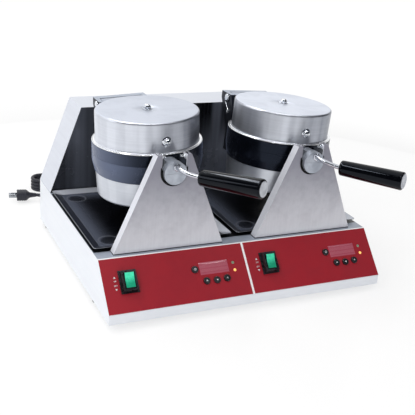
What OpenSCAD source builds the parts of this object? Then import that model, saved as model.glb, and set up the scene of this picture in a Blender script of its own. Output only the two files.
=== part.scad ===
// Double waffle cone maker with turning heads.
// The machine stands on its feet at z = 0, faces -Y, and the origin is the middle of its footprint.

/* [Base] */
// Width of the base
base_w = 500; // [480:1:560]
// Depth of the base
base_d = 440; // [432:1:500]
// Height of the base body without its feet
base_h = 83; // [78:1:88]
// Height of the upright strip under the control panel
strip_h = 16.5; // [12:0.5:20]
// Horizontal depth of the slanted control panel
panel_run = 62.7; // [58:0.1:66]
// Thickness of the base's sheet
sheet = 1.2; // [0.8:0.1:1.6]
// Radius of the rubber feet
foot_r = 12; // [9:0.5:15]
// Height of the rubber feet
foot_h = 10; // [6:1:16]
// Distance of the feet's middles from the sides
foot_inset_x = 15; // [15:1:40]
// Distance of the front feet's middles from the front
foot_front_y = 97; // [60:1:120]
// Distance of the rear feet's middles from the back
foot_rear_y = 27; // [20:1:60]
// Length of the ventilation slots
vent_l = 60; // [40:1:80]
// Width of the ventilation slots
vent_w = 4; // [3:0.5:5]
// Distance between neighbouring ventilation slots
vent_pitch = 12; // [9:1:15]
// Number of ventilation slots in a row
vent_n = 8; // [4:1:10]

/* [Hood] */
// Width of the wire passage between the base and the hood
passage_w = 120; // [60:5:160]
// Distance of the hood's front wall from the front of the base
hood_y = 360; // [356:1:380]
// Height of the hood's top above the base's underside
hood_z = 245; // [240:1:270]
// Width of the hood's top
hood_top_w = 386; // [360:1:420]

/* [Trays] */
// Gap between a tray's outer edge and the side of the base
tray_side_gap = 1; // [0.6:0.1:4]
// Gap between the two trays
tray_middle_gap = 8; // [3:0.5:20]
// Gap between a tray's front edge and the pillar's flange
tray_front_gap = 1.3; // [0.8:0.1:4]
// Gap between a tray's rear edge and the hood
tray_rear_gap = 5; // [2:0.5:10]
// Height of a tray from its pressed feet to its rim
tray_h = 6.5; // [6:0.1:9]
// Width of a tray's sloped border
tray_border = 15; // [8:1:24]
// Radius of a tray's corners
tray_corner_r = 6; // [3:0.5:16]
// Thickness of a tray's sheet
tray_t = 0.8; // [0.6:0.1:1.2]
// Radius of a tray's pressed feet
tray_foot_r = 18; // [12:1:22]
// Height of a tray's pressed feet
tray_foot_h = 1; // [0.6:0.1:1.6]
// Distance of the pressed feet from a tray's edges
tray_foot_inset = 37; // [32:1:50]

/* [Pillars] */
// Distance of the pillars' front faces from the front of the base
pillar_y = 70.7; // [68:0.1:72]
// Width of a pillar at its foot
pillar_w = 192; // [170:1:220]
// Width of a pillar at its top
pillar_top_w = 58; // [56:0.5:70]
// Height of a pillar's top above the base's underside
pillar_z = 243; // [240:1:250]
// Depth of a pillar's side flanges
pillar_depth = 16; // [12:0.5:16]
// Thickness of a pillar's sheet
pillar_t = 2; // [1.5:0.1:2.5]
// Radius of the U-shaped seat in a pillar
seat_r = 20.6; // [20:0.1:22]
// Wall of the liner in the seat
liner_t = 1.3; // [0.8:0.1:1.5]
// Length of the liner along the turning axis
liner_l = 5; // [4:0.5:6]
// Radius of the stop screws
stop_r = 2; // [1.5:0.1:2.5]
// Distance of the stop screws' tips from the middle of the seat
stop_tip = 12; // [11:0.5:15]
// Height of the stop screws above the turning axis
stop_z = 23.5; // [23:0.5:25]

/* [Heads] */
// Distance of the heads' middles from the front of the base
head_y = 191.4; // [190:0.1:195]
// Height of the turning axis above the base's underside
axis_z = 215; // [212:1:220]
// Tilt of each head at rest
rest_tilt = 3; // [0:0.5:4]
// Radius of the plates
plate_r = 93.5; // [91:0.1:95]
// Thickness of the upper plate
upper_plate_t = 19; // [17:0.5:20]
// Thickness of the lower plate
lower_plate_t = 31; // [28:0.5:34]
// Radius of the lower plate at its underside
lower_plate_low_r = 89.5; // [89:0.1:91]
// Height of the straight band round the lower plate
plate_band = 13; // [11:0.5:16]
// Gap between the shut plates at their rims
plate_gap = 0.3; // [0.2:0.05:0.5]
// Radius of the waffle field
waffle_r = 84; // [80:1:88]
// Depth of the waffle field under the rim
waffle_drop = 0.8; // [0.4:0.1:1.2]
// Distance between the waffle grooves
groove_pitch = 12; // [10:0.5:16]
// Width of the waffle grooves
groove_w = 2; // [1.5:0.1:3]
// Depth of the waffle grooves
groove_d = 1.2; // [0.8:0.1:1.6]
// Radius of the upper cover
cover_r = 87.5; // [86:0.1:88.5]
// Height of the upper cover
cover_h = 52; // [48:0.5:54]
// Radius of the lower cover at its top
low_cover_r = 88; // [87:0.1:88.8]
// Radius of the lower cover at its underside
low_cover_end_r = 86; // [84:0.1:87]
// Height of the lower cover
low_cover_h = 43; // [40:0.5:45]
// Thickness of the covers
cover_t = 1.5; // [1:0.1:2]
// Radius of the covers' rounded edges
cover_edge_r = 4; // [3:0.5:6]
// Thickness of the upper cover's flange
flange_t = 1.5; // [1:0.1:2]
// Radius of the ring of each heating element
element_ring_r = 58; // [50:1:64]
// Radius of the heating elements' tube
element_r = 4; // [3:0.5:4.5]
// Length of the heating elements' legs
element_leg = 20; // [10:1:30]
// Thickness of the plates over the heating elements
plate_web = 11; // [10:0.5:12]
// Wall round the hollow of each plate's back
plate_skirt = 10; // [8:0.5:12]

/* [Trunnions and hinges] */
// Radius of the front trunnion
trunnion_r = 19; // [18:0.1:19.1]
// Distance of the trunnion's face from the head's middle
trunnion_y = 127.4; // [126:0.1:130]
// Length of the trunnion's disc
trunnion_l = 12.4; // [11:0.1:13]
// Half width of the trunnion's neck
neck_w = 9; // [7:0.5:9.5]
// Half width of the plates' front pads
pad_w = 16; // [14:1:20]
// Distance of the plates' front pads from the head's middle
pad_y = 97; // [96:0.5:99]
// Distance of the yoke's web from the head's middle
yoke_y = 103; // [101:0.5:104]
// Thickness of the yoke's web
yoke_t = 13; // [11:0.5:14]
// Half width of the yoke
yoke_w = 48; // [44:1:52]
// Thickness of the yoke's cheeks
cheek_t = 8; // [6:0.5:9]
// Depth of the yoke below the turning axis
yoke_low = 50; // [44:1:54]
// Distance of the hinge pin from the head's middle
pin_y = 124; // [123:0.5:126]
// Length of the yoke's ears behind the hinge pin
ear_l = 26; // [20:1:30]
// Length of the yoke's ears in front of the hinge pin
ear_front = 12; // [10:1:14]
// Height of the yoke's ears above the hinge pin
ear_h = 9; // [6:0.5:12]
// Thickness of the bridge between the yoke's ears
bridge_t = 7; // [5:0.5:9]
// Distance of the yoke's shoulders below the turning axis
shoulder_z = 8; // [4:0.5:12]
// Height of the hinge pin above the turning axis
pin_z = 48; // [46:0.5:49]
// Radius of the hinge pin
pin_r = 4; // [3:0.1:4.5]
// Radius of the barrel round the hinge pin
barrel_r = 8.5; // [7.5:0.1:9]
// Half width of the hinge arm
arm_w = 24; // [20:1:26]
// Number of turns of each hinge spring
spring_turns = 4; // [3:1:5]
// Radius of the hinge spring's wire
spring_wire_r = 1; // [0.8:0.1:1.2]
// Length of the boss that the rear shaft sits in
boss_l = 14; // [10:1:18]
// Radius of the rear shaft
shaft_r = 10; // [9:0.1:11]
// Radius of the bore in the rear shaft
shaft_bore_r = 6; // [4:0.1:7]
// Radius of the rear bearing's flange
bearing_r = 22; // [20:0.5:24]
// How far the rear bearing's flange stands in front of the hood
bearing_t = 8; // [6:0.5:9]

/* [Handles] */
// Radius of the bent rod
rod_r = 3.8; // [3:0.1:4.2]
// Height of the rod's start above the turning axis
rod_z = 10.5; // [9:0.1:11.5]
// Radius of the grip at its inner end
grip_r = 12.7; // [11:0.1:14]
// Radius of the grip at its outer end
grip_end_r = 15.1; // [13:0.1:16]
// Length of the grip
grip_l = 107; // [95:1:120]
// Angle of the grip to the machine's front
grip_angle = 56.7; // [50:0.1:60]
// Rise of the grip
grip_rise = 3.2; // [0:0.1:6]
// Radius of the domed nuts
nut_r = 7.5; // [6:0.1:8]
// Height of the domed nuts
nut_h = 8; // [7:0.1:9]
// Radius of the studs under the domed nuts
stud_r = 3; // [2:0.1:4]
// Height of the front nut above the turning axis
front_nut_z = 40; // [34:0.5:48]
// Depth of the socket that the rod sits in
rod_socket = 8; // [6:0.5:10]

/* [Controls] */
// Thickness of the coloured overlays
overlay_t = 0.8; // [0.5:0.1:1.2]
// Gap between the two overlays
overlay_gap = 4; // [2:0.5:6]
// Distance of a switch from the left end of its half of the panel
switch_in = 41; // [36:1:50]
// Width of a switch's bezel
bezel_w = 30; // [28:0.5:34]
// Length of a switch's bezel
bezel_l = 38; // [36:0.5:40]
// Height of a switch's bezel
bezel_h = 2; // [1.5:0.1:4]
// Width of a bezel's rim round its cut-out
bezel_lip = 1.2; // [1:0.1:1.5]
// Wall of the collar round a rocker
collar_t = 3; // [2.6:0.1:3.2]
// Height of a rocker's pin above the panel
rocker_rise = 8; // [6:0.5:9]
// Width of a rocker
rocker_w = 18; // [17:0.1:19]
// Half length of a rocker
rocker_r = 13.4; // [12.5:0.1:14]
// Tilt of a rocker to each side
rocker_tilt = 8; // [5:0.5:10]
// Width of a display window
display_w = 52; // [46:1:56]
// Length of a display window up the slope
display_l = 21; // [18:1:24]
// Radius of a key
key_r = 5.8; // [5:0.1:6]
// Height of a key above its overlay
key_h = 2.6; // [2:0.1:4]
// Travel of a key
key_travel = 1; // [0.6:0.1:1.2]
// Length of a key's stem below the panel's face
key_stem = 4.5; // [4:0.1:6]
// Radius of a signal lamp
lamp_r = 2.6; // [2:0.1:3]

/* [Mains lead] */
// Radius of the mains lead
cord_r = 3.5; // [3:0.1:4]
// Distance of the cord gland from the middle of the back, to the left
gland_x = 120; // [100:1:140]
// Height of the cord gland above the base's underside
gland_z = 30; // [26:1:40]

/* [Hidden] */
$fn = 64;

// Each tray fills its half of the base, and each head stands over the middle of its tray
tray_w = base_w / 2 - tray_side_gap - tray_middle_gap / 2;
unit_x = base_w / 2 - tray_side_gap - tray_w / 2;

// Clearances and small allowances
fit = 0.3;
run = 0.1;
cut = 1;

// Middle of the stop screws, behind the pillars' front sheet and the trunnions' discs
stop_back = max(pillar_y + pillar_t, head_y - trunnion_y + trunnion_l) + stop_r + fit;

// The slanted panel
panel_rise = base_h - strip_h;
panel_angle = atan2(panel_rise, panel_run);
panel_l = sqrt(panel_run * panel_run + panel_rise * panel_rise);

// The handle, in the head's own frame
rod_start = [2, -trunnion_y, rod_z];
grip_dir = [cos(grip_angle) * cos(grip_rise), -sin(grip_angle) * cos(grip_rise), sin(grip_rise)];
grip_start = [23, -trunnion_y - 45.6, rod_z - 4.3];
rod_free = rod_start - [0, 4, 0];
rod_bend_1 = rod_free + [0.6, -20, -1.2];
rod_bend_2 = grip_start - 14 * grip_dir;
front_reach = -(head_y + grip_start[1] + (grip_l + 1) * grip_dir[1]) + grip_end_r * cos(grip_angle);

// The machine's middle between its back and the grips' ends
mid_y = (base_d - front_reach) / 2;

// Controls of one half of the panel: place along it from its left end, and up the slope.
// The switch keeps its distance from the half's left end, and the other controls theirs from its right end.
half_w = base_w / 2;
key_spots = [
    [half_w - 94.4, 54.5], [half_w - 78.1, 33.3], [half_w - 59.8, 32.6], [half_w - 41.3, 33.6]
];
lamp_spots = [[half_w - 24.3, 58.5], [half_w - 23.8, 45.5]];
display_spot = [half_w - 60, 54.5];
switch_s = 49.5;
// A rocker's material above its pin, and the pin
rocker_web = 2.4;
rocker_pin_r = 1.2;
rocker_pin_in = 2;
overlay_s = [1, 91];
board_gap = key_stem + key_travel + fit;
board_t = 1.6;
board_size = [104, 50];
board_spot = [half_w - 72, 47];
key_skirt_t = 1.2;

// The cord behind the machine: it falls from the gland to the surface, bends into the hank, and leaves the
// hank's top over itself for the plug. The hank's folded runs and its tie are one block.
cord_low = -foot_h + cord_r + 0.1;
cord_bend = 8 * cord_r;
fall_y = [480.2, 560];
join_y = 578;
hank_x = [-225.5, -56.5];
hank_y = [602.5, 651.5];
hank_h = 28;
hank_layer = 7.05;
fold_r = (hank_y[1] - hank_y[0]) / 2;
leave_x = hank_x[1] - fold_r;
leave_turn = 101.4;
plug_at = [-231.5, 557, 4];
plug_turn = 169;
plug_way = [cos(plug_turn), sin(plug_turn), 0];
leave_c = [leave_x - 2 * cord_bend * sin(leave_turn), join_y + 2 * cord_bend * cos(leave_turn)];
leave_end = leave_c - cord_bend * [sin(180 - plug_turn), cos(180 - plug_turn)];
cord_end = plug_at - 0.2 * plug_way;
function ease(t) = let (u = min(max(t, 0), 1)) u * u * (3 - 2 * u);
// Height of the leaving cord at a distance s from the hank's front run
function leave_z(s) = cord_low + 3 * hank_layer * (1 - ease((s - 34) / 126));
leave_l = cord_bend * (2 * leave_turn + 180 - plug_turn) * PI / 180;
cord_out = concat(
    [for (k = [0:18]) let (y = fall_y[0] + (fall_y[1] - fall_y[0]) * k / 18)
        [-gland_x, y, gland_z + (cord_low - gland_z) * ease(k / 18)]],
    [for (a = [0:8:48]) [-gland_x - cord_bend * (1 - cos(a)), join_y + cord_bend * sin(a), cord_low]]
);
cord_back = concat(
    [for (k = [0:12]) let (
        p = cord_end + (([leave_end[0], leave_end[1], 0] - cord_end) * k) / 12,
        far = norm([cord_end[0] - p[0], cord_end[1] - p[1]]))
        [p[0], p[1], leave_z(leave_l + norm([leave_end[0] - p[0], leave_end[1] - p[1]]))
            + (plug_at[2] - cord_low) * ease(1 - far / 46)]],
    [for (k = [1:9]) let (t = leave_turn + 180 - plug_turn, a = t * k / 9)
        [leave_c[0] - cord_bend * sin(180 - plug_turn - a), leave_c[1] - cord_bend * cos(180 - plug_turn - a),
            leave_z(leave_l - cord_bend * a * PI / 180)]],
    [for (a = [92:-10:42])
        [leave_x - cord_bend * sin(a), join_y + cord_bend * cos(a), leave_z(cord_bend * a * PI / 180)]]
);

// ---------------------------------------------------------------- frames

module placed() {
    translate([0, -mid_y, foot_h]) children();
}

module on_panel(x, s) {
    translate([x, s * cos(panel_angle), strip_h + s * sin(panel_angle)])
        rotate([panel_angle, 0, 0]) children();
}

// Place on the left (side -1) or right (side 1) half of the panel; both are laid out alike
function spot_x(side, x) = (side < 0 ? -base_w / 2 : 0) + x;

module unit(side) {
    placed()
        translate([side * unit_x, head_y, axis_z])
            rotate([0, side * rest_tilt, 0]) children();
}

// Extrudes a side view, drawn in y and z, across the machine
module across(x0, x1) {
    translate([x0, 0, 0]) rotate([90, 0, 90]) linear_extrude(x1 - x0) children();
}

// Extrudes a front view, drawn in x and z, towards the back
module along(y0, y1) {
    translate([0, y1, 0]) rotate([90, 0, 0]) linear_extrude(y1 - y0) children();
}

module rounded_rect(w, l, r) {
    hull()
        for (x = [-1, 1], y = [-1, 1])
            translate([x * (w / 2 - r), y * (l / 2 - r)]) circle(r, $fn = 32);
}

// ---------------------------------------------------------------- swept tubes

function unit_v(v) = v / norm(v);
function bezier(a, b, c, d, t) =
    pow(1 - t, 3) * a + 3 * t * pow(1 - t, 2) * b + 3 * t * t * (1 - t) * c + pow(t, 3) * d;
function tangent(p, i) = unit_v(p[min(i + 1, len(p) - 1)] - p[max(i - 1, 0)]);
// A frame carried along the path, turned as little as each step allows
function side_at(p, i, s) = unit_v(s - (s * tangent(p, i)) * tangent(p, i));
function sides(p, s, i = 0, out = []) =
    i == len(p) ? out : sides(p, side_at(p, i, s), i + 1, concat(out, [side_at(p, i, s)]));
function ring(c, t, s, r, n) = [
    for (k = [0:n - 1]) c + r * cos(360 * k / n) * s + r * sin(360 * k / n) * cross(t, s)
];

module tube(p, r, n, start_side) {
    s = sides(p, start_side);
    m = len(p);
    points = [for (i = [0:m - 1]) each ring(p[i], tangent(p, i), s[i], r, n)];
    skin = [
        for (i = [0:m - 2], k = [0:n - 1])
            [i * n + k, i * n + (k + 1) % n, (i + 1) * n + (k + 1) % n, (i + 1) * n + k]
    ];
    start_cap = [[for (k = [n - 1:-1:0]) k]];
    end_cap = [[for (k = [0:n - 1]) (m - 1) * n + k]];
    polyhedron(points, [for (f = concat(start_cap, skin, end_cap)) [for (k = [len(f) - 1:-1:0]) f[k]]]);
}

// ---------------------------------------------------------------- base and hood

function slope_z(y) = strip_h + y * panel_rise / panel_run;

module base_outline() {
    polygon([[0, 0], [0, strip_h], [panel_run, base_h], [base_d, base_h], [base_d, 0]]);
}

module base_hollow() {
    drop = sheet * panel_l / panel_run;
    y_top = panel_run - sheet * panel_run / panel_rise + sheet * panel_l / panel_rise;
    polygon([
        [sheet, -cut], [sheet, slope_z(sheet) - drop], [y_top, base_h - sheet],
        [base_d - sheet, base_h - sheet], [base_d - sheet, -cut]
    ]);
}

module panel_holes(r_fit, depth) {
    for (side = [-1, 1]) {
        for (p = key_spots)
            on_panel(spot_x(side, p[0]), p[1]) cylinder(depth * 2, r = key_r + r_fit, center = true);
        for (p = lamp_spots)
            on_panel(spot_x(side, p[0]), p[1]) cylinder(depth * 2, r = lamp_r + run, center = true);
        on_panel(spot_x(side, display_spot[0]), display_spot[1])
            cube([display_w + run * 2, display_l + run * 2, depth * 2], center = true);
    }
}

module base_shell() {
    color("gainsboro") placed() difference() {
        across(-base_w / 2, base_w / 2) base_outline();
        across(-base_w / 2 + sheet, base_w / 2 - sheet) base_hollow();
        panel_holes(fit, 3);
        for (side = [-1, 1])
            on_panel(spot_x(side, switch_in), switch_s)
                cube([bezel_w - 2 * bezel_lip, bezel_l - 2 * bezel_lip, 6], center = true);
        // wire passage into the hood
        translate([0, (hood_y + base_d) / 2, base_h]) cube([passage_w, (base_d - hood_y) / 2 - 10, 4], center = true);
        translate([-gland_x, base_d - sheet - cut, gland_z])
            rotate([-90, 0, 0]) cylinder(sheet + 2 * cut, r = cord_r * 2 + run);
    }
}

module bottom_plate() {
    w = base_w - 2 * (sheet + run);
    d = base_d - 2 * (sheet + run);
    color("silver") placed() difference() {
        translate([-w / 2, sheet + run, 0]) cube([w, d, sheet]);
        for (side = [-1, 1], k = [0:vent_n - 1])
            translate([side * unit_x + (k - (vent_n - 1) / 2) * vent_pitch, head_y, 0])
                cube([vent_w, vent_l, 4 * cut], center = true);
    }
}

module hood_outline() {
    polygon([
        [-base_w / 2, base_h], [base_w / 2, base_h], [hood_top_w / 2, hood_z], [-hood_top_w / 2, hood_z]
    ]);
}

// The hood's hollow, seen from the front, with its walls inset by t
module hood_hollow(t, z0) {
    lean = (base_w - hood_top_w) / 2 / (hood_z - base_h);
    inset = t * sqrt(1 + lean * lean);
    low = base_w / 2 - inset - lean * (z0 - base_h);
    top = base_w / 2 - inset - lean * (hood_z - t - base_h);
    polygon([[-low, z0], [low, z0], [top, hood_z - t], [-top, hood_z - t]]);
}

module hood() {
    color("gainsboro") placed() difference() {
        along(hood_y, base_d) hood_outline();
        along(hood_y + sheet, base_d + cut) hood_hollow(sheet, base_h - cut);
        for (side = [-1, 1])
            translate([side * unit_x, hood_y - cut, axis_z])
                rotate([-90, 0, 0]) cylinder(sheet + 2 * cut, r = bearing_r - 6 + run);
    }
}

module hood_back() {
    color("silver") placed() difference() {
        along(base_d - sheet, base_d) hood_hollow(sheet + run, base_h + run);
        for (side = [-1, 1], k = [0:vent_n - 1])
            translate([side * unit_x, base_d, axis_z - 70 + k * vent_pitch])
                cube([vent_l, 4 * cut + sheet, vent_w], center = true);
    }
}

module feet() {
    color("dimgray") placed()
        for (side = [-1, 1], y = [foot_front_y, base_d - foot_rear_y])
            translate([side * (base_w / 2 - foot_inset_x), y, -foot_h])
                cylinder(foot_h, r1 = foot_r - 1, r2 = foot_r);
}

// ---------------------------------------------------------------- controls

module control_overlays() {
    w = (base_w - overlay_gap) / 2;
    color("crimson") placed() difference() {
        for (x = [-base_w / 2, overlay_gap / 2])
            on_panel(x, overlay_s[0]) cube([w, overlay_s[1] - overlay_s[0], overlay_t]);
        panel_holes(fit, 3);
        for (side = [-1, 1])
            on_panel(spot_x(side, switch_in), switch_s)
                cube([bezel_w - 2 * bezel_lip, bezel_l - 2 * bezel_lip, 6], center = true);
    }
}

module display_windows() {
    color("thistle") placed()
        for (side = [-1, 1])
            on_panel(spot_x(side, display_spot[0]), display_spot[1])
                translate([-display_w / 2, -display_l / 2, -board_gap])
                    cube([display_w, display_l, board_gap + overlay_t]);
}

module switch_bezels() {
    body_w = bezel_w - 2 * (bezel_lip + run);
    body_l = bezel_l - 2 * (bezel_lip + run);
    well_w = rocker_w + 2 * fit;
    well_l = 2 * (rocker_r + fit);
    collar_w = well_w + 2 * collar_t;
    collar_l = well_l + 2 * collar_t;
    color("black") placed()
        for (side = [-1, 1])
            on_panel(spot_x(side, switch_in), switch_s) difference() {
                union() {
                    translate([-bezel_w / 2, -bezel_l / 2, overlay_t]) cube([bezel_w, bezel_l, bezel_h]);
                    translate([-body_w / 2, -body_l / 2, -20]) cube([body_w, body_l, 20 + overlay_t]);
                    translate([-collar_w / 2, -collar_l / 2, 0]) cube([collar_w, collar_l, rocker_rise + rocker_web]);
                }
                translate([-well_w / 2, -well_l / 2, rocker_rise - rocker_r - 1.5]) cube([well_w, well_l, 40]);
                translate([0, 0, rocker_rise])
                    rotate([0, 90, 0]) cylinder(rocker_w + 2 * rocker_pin_in + 1.4, r = rocker_pin_r + run, center = true);
            }
}

// A rocker seen from the side: round below its pin, two shallow faces above
module rocker(side) {
    color("limegreen") placed()
        on_panel(spot_x(side, switch_in), switch_s) translate([0, 0, rocker_rise]) rotate([rocker_tilt, 0, 0]) {
            difference() {
                rotate([0, 90, 0]) cylinder(rocker_w, r = rocker_r, center = true);
                for (turn = [0, 180])
                    rotate([0, 0, turn])
                        translate([-rocker_w, 0, rocker_web]) rotate([rocker_tilt, 0, 0])
                            cube([rocker_w * 2, rocker_r * 2, rocker_r * 2]);
                translate([0, 0, -rocker_r]) cube([rocker_w - 4, rocker_r * 2, rocker_r], center = true);
            }
            rotate([0, 90, 0]) cylinder(rocker_w + 2 * rocker_pin_in, r = rocker_pin_r, center = true);
        }
}

module rocker_left() { rocker(-1); }
module rocker_right() { rocker(1); }

module key(side, k) {
    spot = key_spots[k - 1];
    color("black") placed() on_panel(spot_x(side, spot[0]), spot[1]) {
        translate([0, 0, -key_stem]) cylinder(key_stem + overlay_t + key_h - 0.6, r = key_r);
        translate([0, 0, overlay_t + key_h - 0.6]) cylinder(0.6, r1 = key_r, r2 = key_r - 0.6);
        translate([0, 0, -sheet - fit - key_skirt_t]) cylinder(key_skirt_t, r = key_r + 1.2);
    }
}

module key_left_1() { key(-1, 1); }
module key_left_2() { key(-1, 2); }
module key_left_3() { key(-1, 3); }
module key_left_4() { key(-1, 4); }
module key_right_1() { key(1, 1); }
module key_right_2() { key(1, 2); }
module key_right_3() { key(1, 3); }
module key_right_4() { key(1, 4); }

module indicator_lamps() {
    color("yellowgreen") placed()
        for (side = [-1, 1], p = lamp_spots)
            on_panel(spot_x(side, p[0]), p[1]) {
                translate([0, 0, -board_gap]) cylinder(board_gap + overlay_t, r = lamp_r);
                translate([0, 0, overlay_t]) cylinder(1, r1 = lamp_r, r2 = lamp_r * 0.6);
            }
}

module control_boards() {
    top = -board_gap - board_t;
    color("darkgreen") placed()
        for (side = [-1, 1]) {
            on_panel(spot_x(side, board_spot[0]), board_spot[1])
                translate([-board_size[0] / 2, -board_size[1] / 2, top])
                    cube([board_size[0], board_size[1], board_t]);
            for (x = [-1, 1], y = [-1, 1])
                on_panel(spot_x(side, board_spot[0]) + x * (board_size[0] / 2 - 3), board_spot[1])
                    translate([0, y * (board_size[1] / 2 - 3), top + board_t])
                        cylinder(board_gap - sheet, r = 2.4);
        }
}

// ---------------------------------------------------------------- trays

module tray_skin(w, d, drop, grow) {
    hull() {
        translate([0, 0, tray_h - 0.1 + grow]) linear_extrude(0.1)
            rounded_rect(w - 2 * drop, d - 2 * drop, tray_corner_r - drop);
        translate([0, 0, tray_foot_h + drop]) linear_extrude(0.1)
            rounded_rect(w - 2 * tray_border, d - 2 * tray_border, tray_corner_r);
    }
}

module tray(side) {
    y0 = pillar_y + pillar_depth + tray_front_gap;
    y1 = hood_y - tray_rear_gap;
    d = y1 - y0;
    foot_x = tray_w / 2 - tray_foot_inset;
    foot_y = d / 2 - tray_foot_inset;
    color("slategray") placed()
        translate([side * unit_x, (y0 + y1) / 2, base_h + fit]) difference() {
            union() {
                tray_skin(tray_w, d, 0, 0);
                for (x = [-1, 1], y = [-1, 1])
                    translate([x * foot_x, y * foot_y, 0]) cylinder(tray_foot_h * 2, r = tray_foot_r);
            }
            tray_skin(tray_w, d, tray_t, cut);
            for (x = [-1, 1], y = [-1, 1])
                translate([x * foot_x, y * foot_y, tray_t])
                    cylinder(tray_foot_h * 3, r = tray_foot_r - tray_t);
        }
}

module tray_left() { tray(-1); }
module tray_right() { tray(1); }

// ---------------------------------------------------------------- pillars

function pillar_half(z) =
    pillar_w / 2 - (pillar_w - pillar_top_w) / 2 * (z - base_h) / (pillar_z - base_h);

module pillar(side) {
    lean = (pillar_w - pillar_top_w) / 2 / (pillar_z - base_h);
    inset = pillar_t * sqrt(1 + lean * lean);
    low = base_h + pillar_t;
    color("lightsteelblue") placed() translate([side * unit_x, pillar_y, 0]) {
        difference() {
            along(0, pillar_depth)
                polygon([
                    [-pillar_w / 2, base_h], [pillar_w / 2, base_h],
                    [pillar_top_w / 2, pillar_z], [-pillar_top_w / 2, pillar_z]
                ]);
            along(pillar_t, pillar_depth + cut)
                polygon([
                    [-pillar_half(low) + inset, low], [pillar_half(low) - inset, low],
                    [pillar_half(pillar_z + cut) - inset, pillar_z + cut],
                    [-pillar_half(pillar_z + cut) + inset, pillar_z + cut]
                ]);
            translate([0, -cut, axis_z]) rotate([-90, 0, 0]) cylinder(pillar_t + 2 * cut, r = seat_r);
            translate([-seat_r, -cut, axis_z]) cube([seat_r * 2, pillar_t + 2 * cut, pillar_z]);
        }
        // folded ears that carry the stop screws
        for (x = [-1, 1])
            difference() {
                translate([x * (seat_r + pillar_t / 2), pillar_depth / 2, axis_z + stop_z])
                    cube([pillar_t, pillar_depth, 2 * (pillar_z - axis_z - stop_z)], center = true);
                translate([x * (seat_r + pillar_t / 2), stop_back - pillar_y, axis_z + stop_z])
                    rotate([0, 90, 0]) cylinder(pillar_t * 2, r = stop_r, center = true);
            }
    }
}

module pillar_left() { pillar(-1); }
module pillar_right() { pillar(1); }

module stop_screws() {
    tail = seat_r + pillar_t + 4;
    color("whitesmoke") placed()
        for (side = [-1, 1], x = [-1, 1])
            translate([side * unit_x, stop_back, axis_z + stop_z]) rotate([0, x * 90, 0]) {
                translate([0, 0, stop_tip]) cylinder(1.5, r1 = stop_r - 0.8, r2 = stop_r);
                translate([0, 0, stop_tip + 1.5]) cylinder(tail - stop_tip - 1.5, r = stop_r);
                translate([0, 0, seat_r - 3]) cylinder(3, r = stop_r + 1.6, $fn = 6);
            }
}

module bearings() {
    liner_r = trunnion_r + fit;
    color("dimgray") placed()
        for (side = [-1, 1]) translate([side * unit_x, 0, axis_z]) {
            translate([0, pillar_y - 0.5, 0]) rotate([-90, 0, 0]) difference() {
                union() {
                    cylinder(liner_l, r = seat_r - 0.05);
                    translate([-seat_r + 0.05, -4, 0]) cube([2 * (seat_r - 0.05), 4, liner_l]);
                }
                translate([0, 0, -cut]) cylinder(liner_l + 2 * cut, r = liner_r);
                translate([-liner_r, -seat_r * 2, -cut]) cube([2 * liner_r, seat_r * 2, liner_l + 2 * cut]);
                translate([-seat_r * 2, -seat_r * 2 - 4, -cut]) cube([seat_r * 4, seat_r * 2, 20]);
            }
            translate([0, hood_y - bearing_t, 0]) rotate([-90, 0, 0]) difference() {
                union() {
                    cylinder(bearing_t, r = bearing_r);
                    cylinder(bearing_t + sheet + 10, r = bearing_r - 6);
                }
                translate([0, 0, -cut]) cylinder(bearing_t + sheet + 12, r = shaft_r + run / 2);
            }
        }
}

// ---------------------------------------------------------------- heads

// Waffle field of a plate whose face looks along +Z at z = 0
module waffle_field() {
    n = floor(waffle_r / groove_pitch);
    translate([0, 0, -waffle_drop]) cylinder(waffle_drop + cut, r = waffle_r);
    for (turn = [45, 135], k = [-n:n])
        let (half = sqrt(waffle_r * waffle_r - k * k * groove_pitch * groove_pitch) - 0.5)
            rotate([0, 0, turn])
                translate([-half, k * groove_pitch - groove_w / 2, -waffle_drop - groove_d])
                    cube([2 * half, groove_w, groove_d + waffle_drop + cut]);
}

// Pads that the trunnion and the yoke or arm are bolted to
module plate_pads(z0, z1, rear_w, rear_y) {
    translate([-pad_w, -pad_y, z0]) cube([2 * pad_w, pad_y - plate_r + 8, z1 - z0]);
    translate([-rear_w, plate_r - 12, z0]) cube([2 * rear_w, rear_y - plate_r + 12, z1 - z0]);
}

module lower_plate(side) {
    top = -plate_gap / 2;
    color("#2b2d33") unit(side) difference() {
        union() {
            translate([0, 0, -plate_band]) cylinder(plate_band + top, r = plate_r, $fn = 96);
            translate([0, 0, -lower_plate_t])
                cylinder(lower_plate_t - plate_band, r1 = lower_plate_low_r, r2 = plate_r, $fn = 96);
            plate_pads(-plate_band + 0.5, top - 1, 30, yoke_y);
        }
        translate([0, 0, top]) waffle_field();
        translate([0, 0, -lower_plate_t - cut])
            cylinder(lower_plate_t + cut - plate_web, r = lower_plate_low_r - plate_skirt, $fn = 96);
    }
}

module upper_plate(side) {
    low = plate_gap / 2;
    color("#2b2d33") unit(side) difference() {
        union() {
            translate([0, 0, low]) cylinder(upper_plate_t - low, r = plate_r, $fn = 96);
            plate_pads(low + 1, upper_plate_t - 2, arm_w - 2, plate_r + 3.5);
        }
        translate([0, 0, low]) mirror([0, 0, 1]) waffle_field();
        translate([0, 0, plate_web]) cylinder(upper_plate_t, r = plate_r - plate_skirt - 2, $fn = 96);
    }
}

// Section of a cup, open at z = 0 and closed at z = h, with a rounded edge
module cup_section(r0, r1, h, t) {
    e = cover_edge_r;
    polygon(concat(
        [[r0 - t, 0], [r0, 0]],
        [for (a = [0:18:90]) [r1 - e + e * cos(a), h - e + e * sin(a)]],
        [[0, h], [0, h - t]],
        [for (a = [90:-18:0]) [r1 - e + (e - t) * cos(a), h - e + (e - t) * sin(a)]]
    ));
}

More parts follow.
